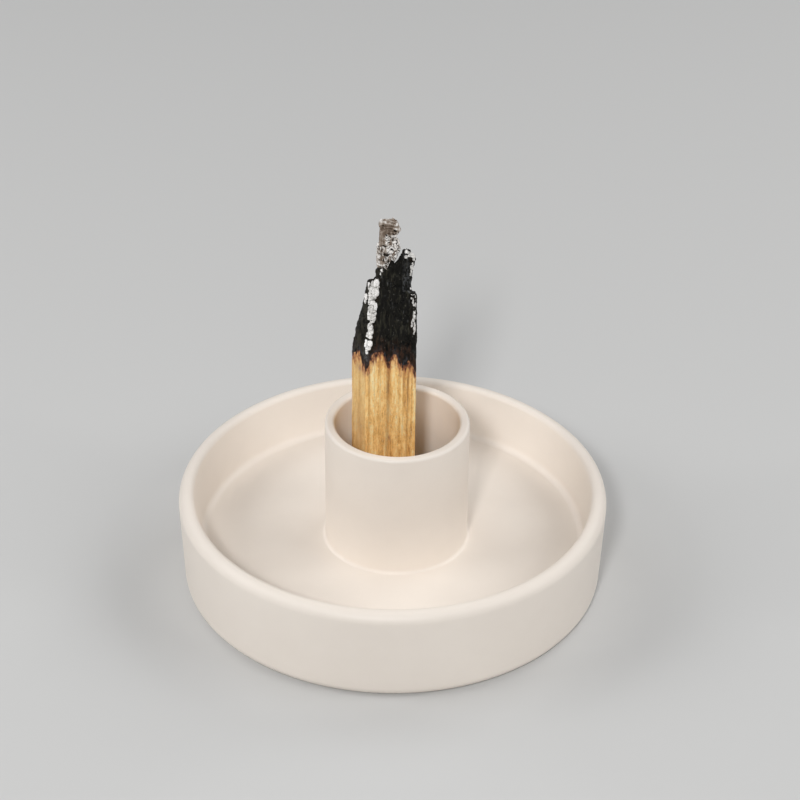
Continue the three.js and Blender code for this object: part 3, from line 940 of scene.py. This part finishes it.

# %% Relief of the coal
# Chips that stand up from the coal's front, with a painted grey highlight on them, and a painted sheen
# on the left tongue: place across, height over the wood, half width, half height and size
COAL_CHIPS = [(0.72, 17.2, 0.13, 0.42, 1), (1.42, 16.9, 0.10, 0.50, 0.8), (-0.62, 18.5, 0.09, 0.40, 0.9),
              (-0.34, 17.8, 0.10, 0.35, 0.7), (1.7, 12.2, 0.09, 0.45, 0.7), (1.9, 11.4, 0.12, 0.2, 0.6),
              (4.3, 10.2, 0.09, 0.40, 0.6), (5.2, 7.9, 0.12, 0.35, 0.5), (0.1, 14.2, 0.14, 0.16, 0.4),
              (3.0, 8.2, 0.13, 0.16, 0.4), (5.5, 12.9, 0.10, 0.5, 0.4), (4.9, 5.4, 0.12, 0.3, 0.5),
              (-4.0, -1.3, 0.55, 1.5, 0.9), (1.35, 0.8, 0.14, 0.8, 0.6), (6.6, -0.2, 0.12, 0.7, 0.7),
              (6.95, 0.5, 0.1, 0.5, 0.6), (5.1, -1.4, 0.12, 0.6, 0.5), (4.5, -1.9, 0.25, 0.12, 0.5)]
# How far over the char line the relief is full, and how far in front of the stick's middle a painted
# highlight starts along the step's edge and is full
RELIEF_RISE = 3.5
EDGE_HIGHLIGHT_GROWS = (2.4, 3.2)


def coal_relief(points, fade):
    """How far the coal stands out, how deep its cracks are and where grey highlight is painted on it. Lumps
    and flakes of noise, less the borders of cells that are longer along the grain, grow from the char line."""
    bent = wander(points)
    lumps = 0.20 * layered(points, (2.4, 2.4, 4.5), 41)
    flakes = 0.15 * layered(bent, (0.9, 0.9, 2.2), 44) - 0.14 * np.abs(noise(bent, (0.8, 0.8, 2.6), 46))
    warp = 0.5 * np.stack([layered(points, 1.4, seed, layers=2) for seed in (47, 50, 53)], axis=-1)
    border, number = cells(bent + warp, (1.3, 1.3, 2.1), 56)
    deep = crack(border, 0.08) * soft_step(noise(points, (2.6, 2.6, 3.5), 49), -0.2, 0.3)
    blocks = 0.18 * (number - 0.5)
    grain = 0.07 * layered(bent, (0.35, 0.35, 0.7), 52)
    x, y, z = np.moveaxis(points, -1, 0)
    chips = spots(COAL_CHIPS, x, z) * (y < -1)
    relief = fade * (lumps + flakes + blocks + grain - 0.26 * deep + 0.14 * chips)
    return fibres(points) + relief, fade * deep, np.clip(chips, 0, 1)


height = LINE_HEIGHTS + np.linspace(0, 1, SKIRT_RINGS)[:, None] * (SKIRT_TOP - LINE_HEIGHTS)
skirt = stick_side(np.broadcast_to(AROUND, height.shape), height)
joined = np.concatenate([skirt, head_side(HEAD_RINGS)])
rise = joined[..., 2] - joined[0, :, 2]
relief, cracked, dusted = coal_relief(joined, soft_step(rise, 0, RELIEF_RISE))
print("coal relief, mm:", relief.min().round(2), "to", relief.max().round(2))

# %% Rings of the head
# A painted highlight runs along the step's edge, strongest halfway up its slope.
edge = step_edge(joined[..., 0], joined[..., 2]) * soft_step(-joined[..., 1], *EDGE_HIGHLIGHT_GROWS)
dusted = np.clip(dusted + 2.2 * edge * (1 - edge), 0, 1)
joined = joined + outward(joined) * relief[..., None]
under = end_rings(joined[0], CAP_RINGS, char_line)[:0:-1]
rings = np.concatenate([under, joined])
cracked, dusted = (np.concatenate([np.zeros(under.shape[:2]), mark]) for mark in (cracked, dusted))
head_marks = {
    "over_line": over_char_line(rings),
    "facet": on_facet(rings, 0.985),
    "cracked": cracked,
    "dusted": dusted,
}
head = skin("burnt_head", to_frame(rings), head_marks)

# %% [markdown]
# ### Coal finish
# Coal is nearly black but not evenly so: fresh breaks shine a little, the skin near the wood is
# blue grey, and dust of ash sits on it as tiny pale specks. A grey highlight is painted on the chips,
# the step's edge and the left tongue. A black colour alone would turn the head into a hole in the
# picture, so the grain shows in both the colour and the roughness.


# %% Make the coal
def charcoal():
    """Black coal with grain, a blue grey skin near the wood, grey dust on the facet, specks, and a painted
    grey highlight on chips, the step's edge and the left tongue.
    """
    finish = Finish("charcoal")
    grain = finish.noise((1.5, 1.5, 0.35), detail=5, roughness=0.65, distortion=0.5)
    tone = finish.ramp(finish.between(grain, 0.34, 0.70), [
        (0.0, (0.0018, 0.0016, 0.0010)),
        (0.55, (0.0075, 0.0070, 0.0048)),
        (1.0, (0.034, 0.032, 0.022)),
    ])
    over = finish.mark("over_line")
    patches = finish.noise((0.8, 0.8, 0.45), detail=4, roughness=0.6)
    warm = finish.between(over + 6 * patches, 8.0, 4.0) * finish.between(grain, 0.40, 0.60)
    near_wood = finish.between(over + 3 * grain, 3.6, 1.0) * finish.between(patches, 0.47, 0.58)
    specks = finish.noise((2.3, 2.3, 1.3), detail=3, roughness=0.65)
    tone = finish.coats(tone, [
        (warm, (0.036, 0.015, 0.008)),
        (near_wood * 0.8, (0.046, 0.048, 0.058)),
        (finish.mark("facet") * finish.between(grain, 0.35, 0.65), (0.032, 0.030, 0.022)),
        (finish.between(specks, 0.63, 0.70) * 0.55, (0.13, 0.125, 0.11)),
        # Painted highlight: grey where the mesh marks chips, the step's edge and the tongue's sheen.
        (finish.mark("dusted") * finish.between(specks, 0.40, 0.60), (0.12, 0.125, 0.13)),
        (finish.mark("cracked") * 0.8, (0.0012, 0.0012, 0.0012)),
    ])
    rough = 0.40 + 0.5 * patches
    normal = finish.bump(0.8 * grain + 0.6 * specks, 0.16)
    return finish.shade(base_color=tone, roughness=rough, specular_ior_level=0.17, normal=normal)


dress(head, "stick", ["charred_head"], charcoal())

# %% [markdown]
# ## Ash column
# The tip of the stick has burnt out and stands on as a column of ash, still in the shape of the
# wood. It is brown and fibrous at its top and crazed into pale flakes on its right, and slits cross
# it. The column is a stack of squared ovals between a left and a right outline.

# %% Side of the ash column
TIP_HEIGHT = 10.75
TIP_AROUND = 280
TIP_RINGS = 260
TIP_CORNERS = 0.5
TIP_FRONT = -3.3
TIP_BACK = 0.75
TIP_FALL = 0.2
# The two outlines: each height over the ledge, and the place across there
TIP_LEFT = [(0, -1.66), (0.5, -1.8), (2.6, -1.85), (2.9, -1.6), (3.2, -1.84), (4.0, -1.78), (5.1, -1.74),
            (5.7, -1.62), (6.1, -1.26), (8.2, -1.2), (9.5, -1.06), (10.1, -1.35), (10.75, -1.3)]
TIP_RIGHT = [(0, 1.8), (0.9, 2.35), (1.6, 2.8), (2.7, 3.15), (3.6, 3.5), (4.2, 3.5), (4.8, 3.15),
             (5.4, 3.3), (6.1, 3.25), (6.9, 2.85), (7.6, 2.5), (8.2, 3.0), (8.9, 3.5), (9.5, 3.2),
             (10.75, 2.7)]


def squared(value):
    """A sine or cosine with its sign, raised to a power under 1, which gives an oval corners."""
    return np.sign(value) * np.abs(value) ** TIP_CORNERS


def column_rings():
    """The column's side: squared ovals between the outlines, from the break up."""
    angles = 2 * np.pi * np.arange(TIP_AROUND) / TIP_AROUND
    level = np.linspace(0, TIP_HEIGHT, TIP_RINGS)[:, None]
    left, right = (np.interp(level, *np.transpose(rows)) for rows in (TIP_LEFT, TIP_RIGHT))
    share = level / TIP_HEIGHT
    back = TIP_BACK - 0.5 * share
    x = stretch(left, right, squared(np.cos(angles)))
    y = stretch(TIP_FRONT, back, squared(np.sin(angles)))
    fall = HEAD_FALL + (TIP_FALL - HEAD_FALL) * share
    z = LEDGE + level - fall * (y - TIP_FRONT) + (1 - share) ** 3 * ash_line(x)
    return np.stack([x, y, z], axis=-1)


side = column_rings()
print("column side:", side.shape[0], "rings of", side.shape[1])

# %% Slits and crazing
# Slits across the column: both ends, as a place across the stick and a height over the wood, and
# half the width
SLITS = [(-0.75, 26.6, 0.25, 26.3, 0.17), (-1.6, 24.35, -0.7, 24.1, 0.14), (-0.3, 24.25, 0.3, 24.2, 0.20),
         (0.3, 24.2, 0.85, 23.7, 0.18), (0.3, 27.6, 1.1, 27.75, 0.14), (1.1, 27.75, 2.5, 28.4, 0.12),
         (2.7, 26.3, 3.3, 26.1, 0.12), (2.7, 27.8, 2.85, 26.9, 0.11), (1.4, 25.9, 1.65, 25.3, 0.14),
         (2.0, 30.2, 2.6, 30.0, 0.24), (3.0, 29.9, 3.1, 29.5, 0.18), (3.3, 29.65, 3.45, 29.3, 0.2),
         (1.75, 29.5, 2.0, 29.35, 0.16), (2.3, 29.4, 2.5, 29.2, 0.15), (0.3, 29.2, 0.4, 28.8, 0.15),
         (-0.5, 31.46, -0.36, 31.46, 0.24), (0.7, 23.4, 0.9, 22.0, 0.14), (-0.7, 25.9, -0.55, 24.9, 0.1),
         (-0.3, 23.2, -0.2, 22.3, 0.12), (-1.4, 22.9, -0.8, 22.7, 0.12), (-1.6, 21.2, -0.3, 21.15, 0.14)]


def slits(points):
    """Depth of the slits at each point: the bell curve of the distance to the nearest line."""
    x, y, z = np.moveaxis(points, -1, 0)
    z = z + 0.15 * noise(points, 0.7, 58)
    found = np.zeros_like(x)
    for x0, z0, x1, z1, width in SLITS:
        share = ((x - x0) * (x1 - x0) + (z - z0) * (z1 - z0)) / np.hypot(x1 - x0, z1 - z0) ** 2
        share = np.clip(share, 0, 1)
        gap = np.hypot(x - x0 - share * (x1 - x0), z - z0 - share * (z1 - z0))
        found = np.maximum(found, crack(gap, width * (1.15 - np.abs(share - 0.5))))
    return found * soft_step(-y, 1.2, 2.6)


def crazing(points, seed, size):
    """Height of crazed ash, the depth of its cracks and a number for each flake. Cells of bent space
    are domes, parted by cracks, and each lies a little higher or lower than the next."""
    bend = np.stack([layered(points, 1.1, seed + k, layers=2) for k in range(3)], axis=-1)
    border, number = cells(points + 0.45 * bend, size, seed + 4)
    dome = np.sqrt(np.clip(border, 0, 0.5) / 0.5)
    height = 0.20 * (dome - 1) + 0.20 * (number - 0.5) + 0.05 * layered(points, (0.3, 0.3, 0.45), seed + 6)
    part = crack(border, 0.13) * soft_step(noise(points, (0.8, 0.8, 0.6), seed + 8), -0.7, 0.0)
    return height, part, number


print("slits:", len(SLITS))

# %% Relief of the column
# How much whiter or browner the ash is in spots: place, height, half sizes and amount
ASH_TONES = [(0.6, 30.9, 1.7, 0.9, -0.22), (1.7, 29.7, 1.2, 0.4, -0.45), (2.6, 31.6, 0.25, 0.5, 0.5),
             (2.4, 30.65, 0.5, 0.25, 0.5), (3.2, 30.4, 0.25, 0.5, 0.35), (0.7, 28.2, 0.5, 0.4, 0.5),
             (1.3, 29.8, 0.25, 0.25, 0.5), (2.1, 29.7, 0.2, 0.2, 0.6), (2.7, 29.6, 0.2, 0.2, 0.6),
             (0.0, 28.2, 0.3, 0.35, 0.4), (1.7, 28.8, 0.8, 0.3, 0.4), (0.6, 27.1, 0.35, 0.6, 0.4),
             (1.3, 26.9, 0.3, 0.3, -0.3), (2.3, 27.2, 0.35, 0.9, 0.55), (3.1, 27.2, 0.25, 0.7, 0.4),
             (0.9, 25.5, 0.6, 0.7, 0.15), (2.4, 25.8, 0.4, 0.35, 0.45), (1.9, 24.6, 0.4, 0.3, -0.35),
             (3.0, 24.7, 0.4, 0.7, 0.3), (2.4, 23.0, 0.3, 1.0, 0.35), (-0.8, 28.6, 0.6, 1.9, -0.05),
             (-1.5, 26.4, 0.2, 0.6, 0.6), (-0.6, 25.3, 0.5, 0.5, -0.25), (-1.4, 23.7, 0.35, 0.4, 0.45),
             (-0.4, 23.1, 0.6, 0.5, -0.3), (0.5, 23.1, 0.3, 0.5, 0.45), (-1.0, 21.5, 0.8, 0.3, 0.5),
             (0.2, 21.4, 0.5, 0.7, 0.2), (-1.0, 32.0, 0.3, 0.5, 0.3)]
# The right is crazed from its edge, under the brown top, and the left under a lower height
CRAZED_EDGE = (-0.1, 0.5)
BROWN_TOP = 29.2
CRAZED_LEFT_TOP = 26.4
# Fibres run up to their top, and over it they arch round a middle, given across and as a height
THREADS_TOP = 30.2
ARCH_FOOT = (29.0, 30.0)
ARCH_MIDDLE = (0.9, 28.4)


def column_relief(side):
    """Height of the column's surface, its cracks, and how white it is. Its crazed part is right of a
    ragged line and under the brown top, and threads of fibre run along or arch over the rest."""
    x, y, z = np.moveaxis(side, -1, 0)
    patches = layered(side, (1.1, 1.1, 1.3), 66)
    below = soft_step(BROWN_TOP - z + 0.5 * patches, -0.2, 0.5)
    right = soft_step(x + 0.5 * patches, *CRAZED_EDGE) * below
    crazed = np.clip(right + 0.6 * soft_step(CRAZED_LEFT_TOP - z, -0.2, 0.3), 0, 1)
    height, parted, number = crazing(side, 61, (0.68, 0.68, 0.82))
    threads = 0.12 * noise(wander(side), (0.38, 0.38, 3), 69) * soft_step(THREADS_TOP - z, -0.4, 0.8)
    beside, above = x - ARCH_MIDDLE[0], z - ARCH_MIDDLE[1]
    shell = np.stack([1.6 * np.arctan2(beside, above), y, np.hypot(beside, above)], axis=-1)
    arches = 0.10 * layered(shell, (1.3, 1.3, 0.34), 70, layers=2) * soft_step(z, *ARCH_FOOT)
    cut = slits(side)
    flaw = crack(noise(side, (0.6, 0.6, 0.5), 73), 0.07) * soft_step(noise(side, 1.3, 74), 0.0, 0.3)
    relief = crazed * height + (1 - 0.7 * crazed) * (threads + arches) - 0.42 * cut + 0.07 * patches
    relief = relief - 0.15 * flaw * (1 - crazed)
    white = 0.40 + 0.36 * crazed + 0.75 * crazed * (number - 0.5) + spots(ASH_TONES, x, z)
    white = white + (1 - crazed) * (2.0 * arches + 1.8 * threads)
    return relief, np.clip(crazed * parted + cut + 0.7 * flaw, 0, 1), np.clip(white, 0, 1)


relief, parted, white = column_relief(side)
side = side + outward(side) * relief[..., None]
print("column relief, mm:", relief.min().round(2), "to", relief.max().round(2))

# %% Rings of the ash column
# On the top, a peak at the back right, a lobe at the left and a pit: each one's place across and
# deep, half width, half depth and height
PEAK = (1.75, -0.6, 0.33, 0.4, 0.8)
LOBE = (-0.75, -2.2, 0.35, 0.5, 0.35)
PIT = (1.75, -2.05, 0.3, 0.4, -0.5)
TOP_RISE = 0.15
top_height = side[-1, :, 2].mean()
top_middle = side[-1].mean(axis=0)


def base_surface(x, y):
    """The column's underside: the break of the ledge that it stands on."""
    return LEDGE + ash_line(x) - HEAD_FALL * (y - TIP_FRONT)


def top_surface(x, y):
    """The column's top: a lumpy slope that falls to the back, with a peak at its back right, a lobe
    at its left and a pit."""
    lump = 0.30 * layered(np.stack([x, y, 0 * x], axis=-1), 1.1, 71)
    slope = top_height - TIP_FALL * (y - top_middle[1])
    return slope + lump + spots([PEAK, LOBE, PIT], x, y) + TOP_RISE


under = end_rings(side[0], CAP_RINGS, base_surface)[:0:-1]
over = end_rings(side[-1], 2 * CAP_RINGS, top_surface)[2:]
rings = np.concatenate([under, side, over])
x, y, _ = np.moveaxis(over, -1, 0)
hole = crack(np.hypot(x - PIT[0], y - PIT[1]), 0.42)
pale = 0.52 + 0.40 * layered(over, 0.8, 72) - 0.2 * soft_step(x, 1.2, 2.6) + 0.3 * soft_step(-x, 0.2, 0.9)
marks = {
    "cracked": np.concatenate([np.zeros(under.shape[:2]), parted, hole]),
    "white": np.concatenate([np.full(under.shape[:2], 0.5), white, np.clip(pale, 0, 1)]),
}
column = skin("ash_column", to_frame(rings), marks)

# %% [markdown]
# ### Ash finishes
# Ash keeps no shine at all. Where the fire was hottest it is nearly white, and where it was starved
# it stays brownish grey with the grain of the wood. The same finish serves all the ash: a mark on
# the mesh says how white it is, and another darkens the cracks.


# %% Make the ash
def ash(name, stops):
    """Dull ash: its tone runs through stops by the white mark and noise, and its cracks are dark."""
    finish = Finish(name)
    threads = finish.noise((2.2, 2.2, 0.6), detail=4, roughness=0.65, distortion=0.6)
    fine = finish.noise((4.5, 4.5, 3.5), detail=3, roughness=0.6)
    share = finish.mark("white") + 0.8 * threads + 0.8 * fine - 0.82
    tone = finish.ramp(share, stops)
    dark = finish.between(finish.mark("cracked") + 0.3 * fine - 0.15, 0.25, 0.85)
    tone = finish.blend(dark, tone, (0.016, 0.012, 0.008))
    normal = finish.bump(0.6 * fine + 0.6 * threads, 0.14)
    return finish.shade(base_color=tone, roughness=0.95, specular_ior_level=0.2, normal=normal)


# Each stop: its place from 0 to 1, and its colour
GREY_ASH = [(0.0, (0.075, 0.050, 0.036)), (0.30, (0.20, 0.152, 0.115)), (0.50, (0.33, 0.275, 0.23)),
            (0.70, (0.54, 0.50, 0.46)), (0.90, (0.88, 0.85, 0.82))]
WHITE_ASH = [(0.0, (0.14, 0.13, 0.12)), (0.35, (0.36, 0.35, 0.33)), (0.65, (0.68, 0.665, 0.64)),
             (0.88, (0.98, 0.96, 0.94))]
dress(column, "stick", ["ash_tip"], ash("grey_ash", GREY_ASH))

# %% [markdown]
# ## Ash crusts
# White crusts cling to the arrises, where the coal burnt longest. They are not a skin of even
# thickness: they have shrunk into small plates that overlap like scales. So a crust is a table of
# plates. The height of the crust is the highest plate's, its seams are where two plates are level,
# and where it falls below zero the sheet dips under the coal, which gives a ragged edge for free.

# %% Plates of the crusts
# Each plate: place across, height over the wood, half width and half height
STRIP = [(-1.7, 17.3, 0.6, 1.0), (-2.5, 17.15, 0.5, 0.75), (-1.95, 16.6, 0.95, 0.5),
         (-2.95, 15.0, 0.47, 1.5), (-1.95, 15.1, 0.8, 1.2), (-2.4, 13.9, 0.65, 0.6),
         (-3.1, 12.75, 0.42, 1.15), (-2.6, 12.45, 0.65, 0.55), (-1.95, 11.5, 0.42, 1.0),
         (-2.6, 10.9, 0.9, 1.2), (-3.25, 9.8, 0.42, 0.75), (-2.3, 9.8, 0.6, 0.6), (-3.25, 8.75, 0.45, 0.75),
         (-2.45, 8.6, 0.62, 0.8), (-2.6, 7.95, 0.4, 0.5), (-2.95, 7.1, 0.32, 0.55), (-3.1, 6.4, 0.62, 0.85),
         (-2.95, 5.3, 0.6, 0.8), (-3.5, 4.25, 0.4, 0.75), (-2.95, 4.0, 0.36, 0.55)]
FLAKE = [(-3.95, 2.0, 0.38, 1.1), (-3.1, 2.25, 0.55, 0.85), (-3.6, 1.4, 0.64, 1.0), (-3.85, 0.3, 0.34, 0.9)]
UPPER_SLIVER = [(-3.45, 16.9, 0.2, 0.9), (-3.5, 16.3, 0.22, 0.7)]
LOWER_SLIVER = [(-4.05, 13.7, 0.33, 0.9), (-4.2, 12.7, 0.22, 0.8)]
STREAK = [(6.4, 14.65, 0.5, 0.16), (6.9, 14.2, 0.22, 0.5), (6.92, 13.3, 0.17, 1.0), (6.85, 12.2, 0.18, 0.6),
          (6.35, 13.0, 0.15, 0.9), (6.05, 13.7, 0.24, 0.25), (6.5, 12.0, 0.26, 0.25), (6.88, 10.8, 0.2, 0.6),
          (6.62, 10.1, 0.32, 0.6), (6.7, 9.2, 0.34, 0.65), (6.5, 8.4, 0.27, 0.5), (6.2, 7.6, 0.2, 0.6),
          (6.1, 6.9, 0.22, 0.4), (6.72, 7.3, 0.22, 0.6), (6.72, 6.2, 0.28, 0.75), (6.65, 5.1, 0.2, 0.4)]
EDGE = [(6.15, 21.4, 0.22, 0.7), (5.95, 20.7, 0.36, 0.7), (5.88, 19.9, 0.24, 0.7), (5.75, 19.15, 0.22, 0.55),
        (6.15, 18.9, 0.2, 0.6)]
CAP = [(4.62, 24.75, 0.36, 0.44), (4.65, 23.45, 0.38, 0.42), (5.05, 24.5, 0.4, 0.34), (5.5, 24.2, 0.44, 0.36),
       (5.35, 23.75, 0.36, 0.26), (5.95, 23.85, 0.44, 0.38), (6.35, 23.4, 0.4, 0.42), (6.4, 22.85, 0.3, 0.44)]
# Each crust: name, plates, thickness, paleness and CAD node
CRUSTS = [
    ("ash_strip", STRIP, 0.50, 0.74, "ash_strip_left"),
    ("ash_flake", FLAKE, 0.34, 0.90, "ash_flake_left"),
    ("ash_sliver_upper", UPPER_SLIVER, 0.32, 0.85, "ash_sliver_left_upper"),
    ("ash_sliver_lower", LOWER_SLIVER, 0.32, 0.85, "ash_sliver_left_lower"),
    ("ash_streak", STREAK, 0.36, 0.70, "ash_streak_right"),
    ("ash_edge", EDGE, 0.34, 0.62, "ash_edge_right"),
    ("ash_cap", CAP, 0.42, 0.70, "ash_cap_right"),
]
print("plates:", {name: len(plates) for name, plates, *_ in CRUSTS})

# %% Places on the head
# Shares of the way round, from left of the facet over the front to the right side, and how many
# places between them are looked at
FRONT_START = -0.12
FRONT_END = 0.236
FRONT_PLACES = 500


def over_horn(points):
    """Points above the horn's slanting top, laid back over its worn edge: a quarter of a circle, and
    then the slope to the back."""
    x, y, z = np.moveaxis(points, -1, 0)
    start = HORN - HORN_ROUND - HORN_SLANT * np.maximum(x - SLANT_START, 0)
    run = np.maximum(z - start, 0)
    angle = np.minimum(run / HORN_ROUND, np.pi / 2)
    flat = run - HORN_ROUND * angle
    back = HORN_ROUND * (1 - np.cos(angle)) + flat
    return np.stack([x, y + back, z - run + HORN_ROUND * np.sin(angle) - HEAD_FALL * flat], axis=-1)


def smooth_head(around, height):
    """The head's side at any height, on the ledge and the horn too, with its broken corner."""
    x, y = section(around)
    lower = limits(np.minimum(height, SHOULDER))
    upper = np.array([*LEDGE_LIMITS, HEAD_FALL])[:, None, None]
    left, right, front, back, fall = np.where(height > SHOULDER, upper, lower)
    across, deep = stretch(left, right, x), stretch(front, back, y)
    return over_horn(broken(np.stack([across, deep, height - fall * (deep - front)], axis=-1), height))


def head_at(x, height):
    """The point of the head's front and of its two arrises at a place across and a height. The way
    round is read backwards from a row of points at each height."""
    places = np.linspace(FRONT_START, FRONT_END, FRONT_PLACES)
    rows = smooth_head(np.broadcast_to(places, (len(height), FRONT_PLACES)), height)[..., 0]
    turn = np.stack([np.interp(wanted, row, places) for wanted, row in zip(x, rows)])
    return smooth_head(turn, np.broadcast_to(height, turn.shape))


def outward_open(grid):
    """Unit normals of an open grid, which point away from the stick."""
    return unit(np.cross(np.gradient(grid, axis=1), np.gradient(grid, axis=0)))


print("front of the ledge, mm:", head_at(np.array([[2.0]]), np.array([[LEDGE]]))[0, 0].round(2))

# %% Overlapping plates
PLATE_POWER = 2.6
PLATE_EDGE = 0.2


def scales(x, z, plates, seed):
    """Height of the plates as a share of their thickness, below 0 outside them, how close to a seam
    each point is, and a number for its plate. A plate's rim is |across|^p + |up|^p = 1, its height
    the root of the distance to the rim, and each plate leans out at its foot."""
    rng = np.random.default_rng(seed)
    heights, numbers = [], rng.random(len(plates))
    for (x0, z0, half_x, half_z), number in zip(plates, numbers):
        across, up = (x - x0) / half_x, (z - z0) / half_z
        radius = (np.abs(across) ** PLATE_POWER + np.abs(up) ** PLATE_POWER) ** (1 / PLATE_POWER)
        body = np.clip((1 - radius) * min(half_x, half_z) / PLATE_EDGE, -1, 1)
        lean = (0.75 + 0.4 * number) * (1 - 0.3 * np.clip(up, -1, 1) + 0.15 * np.clip(across, -1, 1))
        heights.append(np.sign(body) * np.sqrt(np.abs(body)) * np.where(body > 0, lean, 1))
    heights = np.array(heights)
    top = np.argmax(heights, axis=0)
    order = np.sort(heights, axis=0)
    seam = crack(order[-1] - order[-2], 0.13) * (order[-2] > 0)
    return order[-1], seam, numbers[top]


def plate_bounds(plates, height):
    """The crust's left and right side at each height, from the plates near it, smoothed."""
    table = np.array(plates)
    near = np.abs(height - table[:, 1]) < table[:, 3] + 0.6
    low = np.where(near, table[:, 0] - table[:, 2], 99).min(axis=1)
    high = np.where(near, table[:, 0] + table[:, 2], -99).max(axis=1)
    window = np.full(13, 1 / 13)
    return (np.convolve(np.pad(side, 6, mode="edge"), window, mode="valid") for side in (low, high))


print("a plate's rim has the power", PLATE_POWER)

# %% Rings of a crust
CRUST_SINK = 0.3
CRUST_MARGIN = 0.3
LIFT_RANGE = (-0.15, 0.9)


def crust_rings(plates, thickness, pale, seed, around=52, step=0.05):
    """Outer and inner layer of a crust as rings, with its marks. Pale is how white it is."""
    table = np.array(plates)
    ends = (table[:, 1] - table[:, 3]).min(), (table[:, 1] + table[:, 3]).max()
    height = np.arange(ends[0] - CRUST_MARGIN, ends[1] + CRUST_MARGIN, step)[:, None]
    low, high = (side[:, None] for side in plate_bounds(plates, height))
    share = np.linspace(0, 1, around)
    x = low - CRUST_MARGIN + share * (high - low + 2 * CRUST_MARGIN)
    base = head_at(x, height)
    warp = [0.13 * layered(base, (0.8, 0.8, 0.8), seed + k, layers=2) for k in (0, 2)]
    body, seam, number = scales(x + warp[0], height + warp[1], plates, seed)
    rough = 0.07 * layered(base, (0.45, 0.45, 0.3), seed + 4) + 0.03 * layered(base, 0.22, seed + 7)
    flaw = crack(noise(base + 0.3 * rough[..., None], (0.7, 0.7, 0.42), seed + 9), 0.09)
    lift = thickness * (body - 0.30 * seam - 0.12 * flaw) + rough * (body > 0)
    outer = base + outward_open(base) * np.clip(lift, *LIFT_RANGE)[..., None]
    inner = base - outward_open(base) * CRUST_SINK
    dark = np.clip(0.85 * seam + 0.35 * flaw + 1 - soft_step(body, 0.0, 0.35), 0, 1)
    white = pale + 0.30 * (number - 0.5) + 1.8 * rough - 0.25 * flaw
    marks = {"cracked": dark, "white": np.clip(white, 0, 1)}
    marks = {name: np.concatenate([mark, mark[:, ::-1]], axis=1) for name, mark in marks.items()}
    return np.concatenate([outer, inner[:, ::-1]], axis=1), marks


print("a crust is sunk by", CRUST_SINK, "mm")

# %% Make the crusts
white_ash = ash("white_ash", WHITE_ASH)
for number, (name, plates, thickness, pale, node) in enumerate(CRUSTS):
    rings, marks = crust_rings(plates, thickness, pale, seed=80 + 20 * number)
    crust = skin(name, to_frame(rings), marks)
    dress(crust, "stick", [node], white_ash)

# %% [markdown]
# ## Crumbs
# A few crumbs of ash lie on the coal: two under the column's left corner and one in the notch of the
# right corner. Each is a ball whose radius is changed by noise.

# %% Make the crumbs
# Each crumb: place across, height over the wood, half width and half height
CRUMBS = [(-0.50, 20.3, 0.34, 0.45), (-0.80, 19.45, 0.24, 0.34), (5.8, 15.6, 0.22, 0.34)]
CRUMB_RINGS = 40


def crumb_rings(x, height, half_width, half_height, seed):
    """A lumpy ball on the head: x = cos lat cos lon, y = cos lat sin lon and z = sin lat, times its
    lumps and its half sizes."""
    latitude = np.pi * (np.arange(CRUMB_RINGS)[:, None] + 0.5) / CRUMB_RINGS - np.pi / 2
    longitude = 2 * np.pi * np.arange(2 * CRUMB_RINGS) / (2 * CRUMB_RINGS)
    ball = np.stack([np.cos(latitude) * np.cos(longitude), np.cos(latitude) * np.sin(longitude),
                     np.broadcast_to(np.sin(latitude), (CRUMB_RINGS, 2 * CRUMB_RINGS))], axis=-1)
    lumps = 1 + 0.35 * layered(ball, 0.8, seed)
    middle = head_at(np.array([[x]]), np.array([[height]]))[0, 0]
    return middle + ball * lumps[..., None] * (half_width, 0.8 * half_width, half_height)


for number, row in enumerate(CRUMBS):
    rings = crumb_rings(*row, seed=150 + number)
    ones = np.ones(rings.shape[:2])
    crumb = skin(f"ash_crumb_{number + 1}", to_frame(rings), {"cracked": 0 * ones, "white": 0.7 * ones})
    dress(crumb, "stick", [], white_ash)
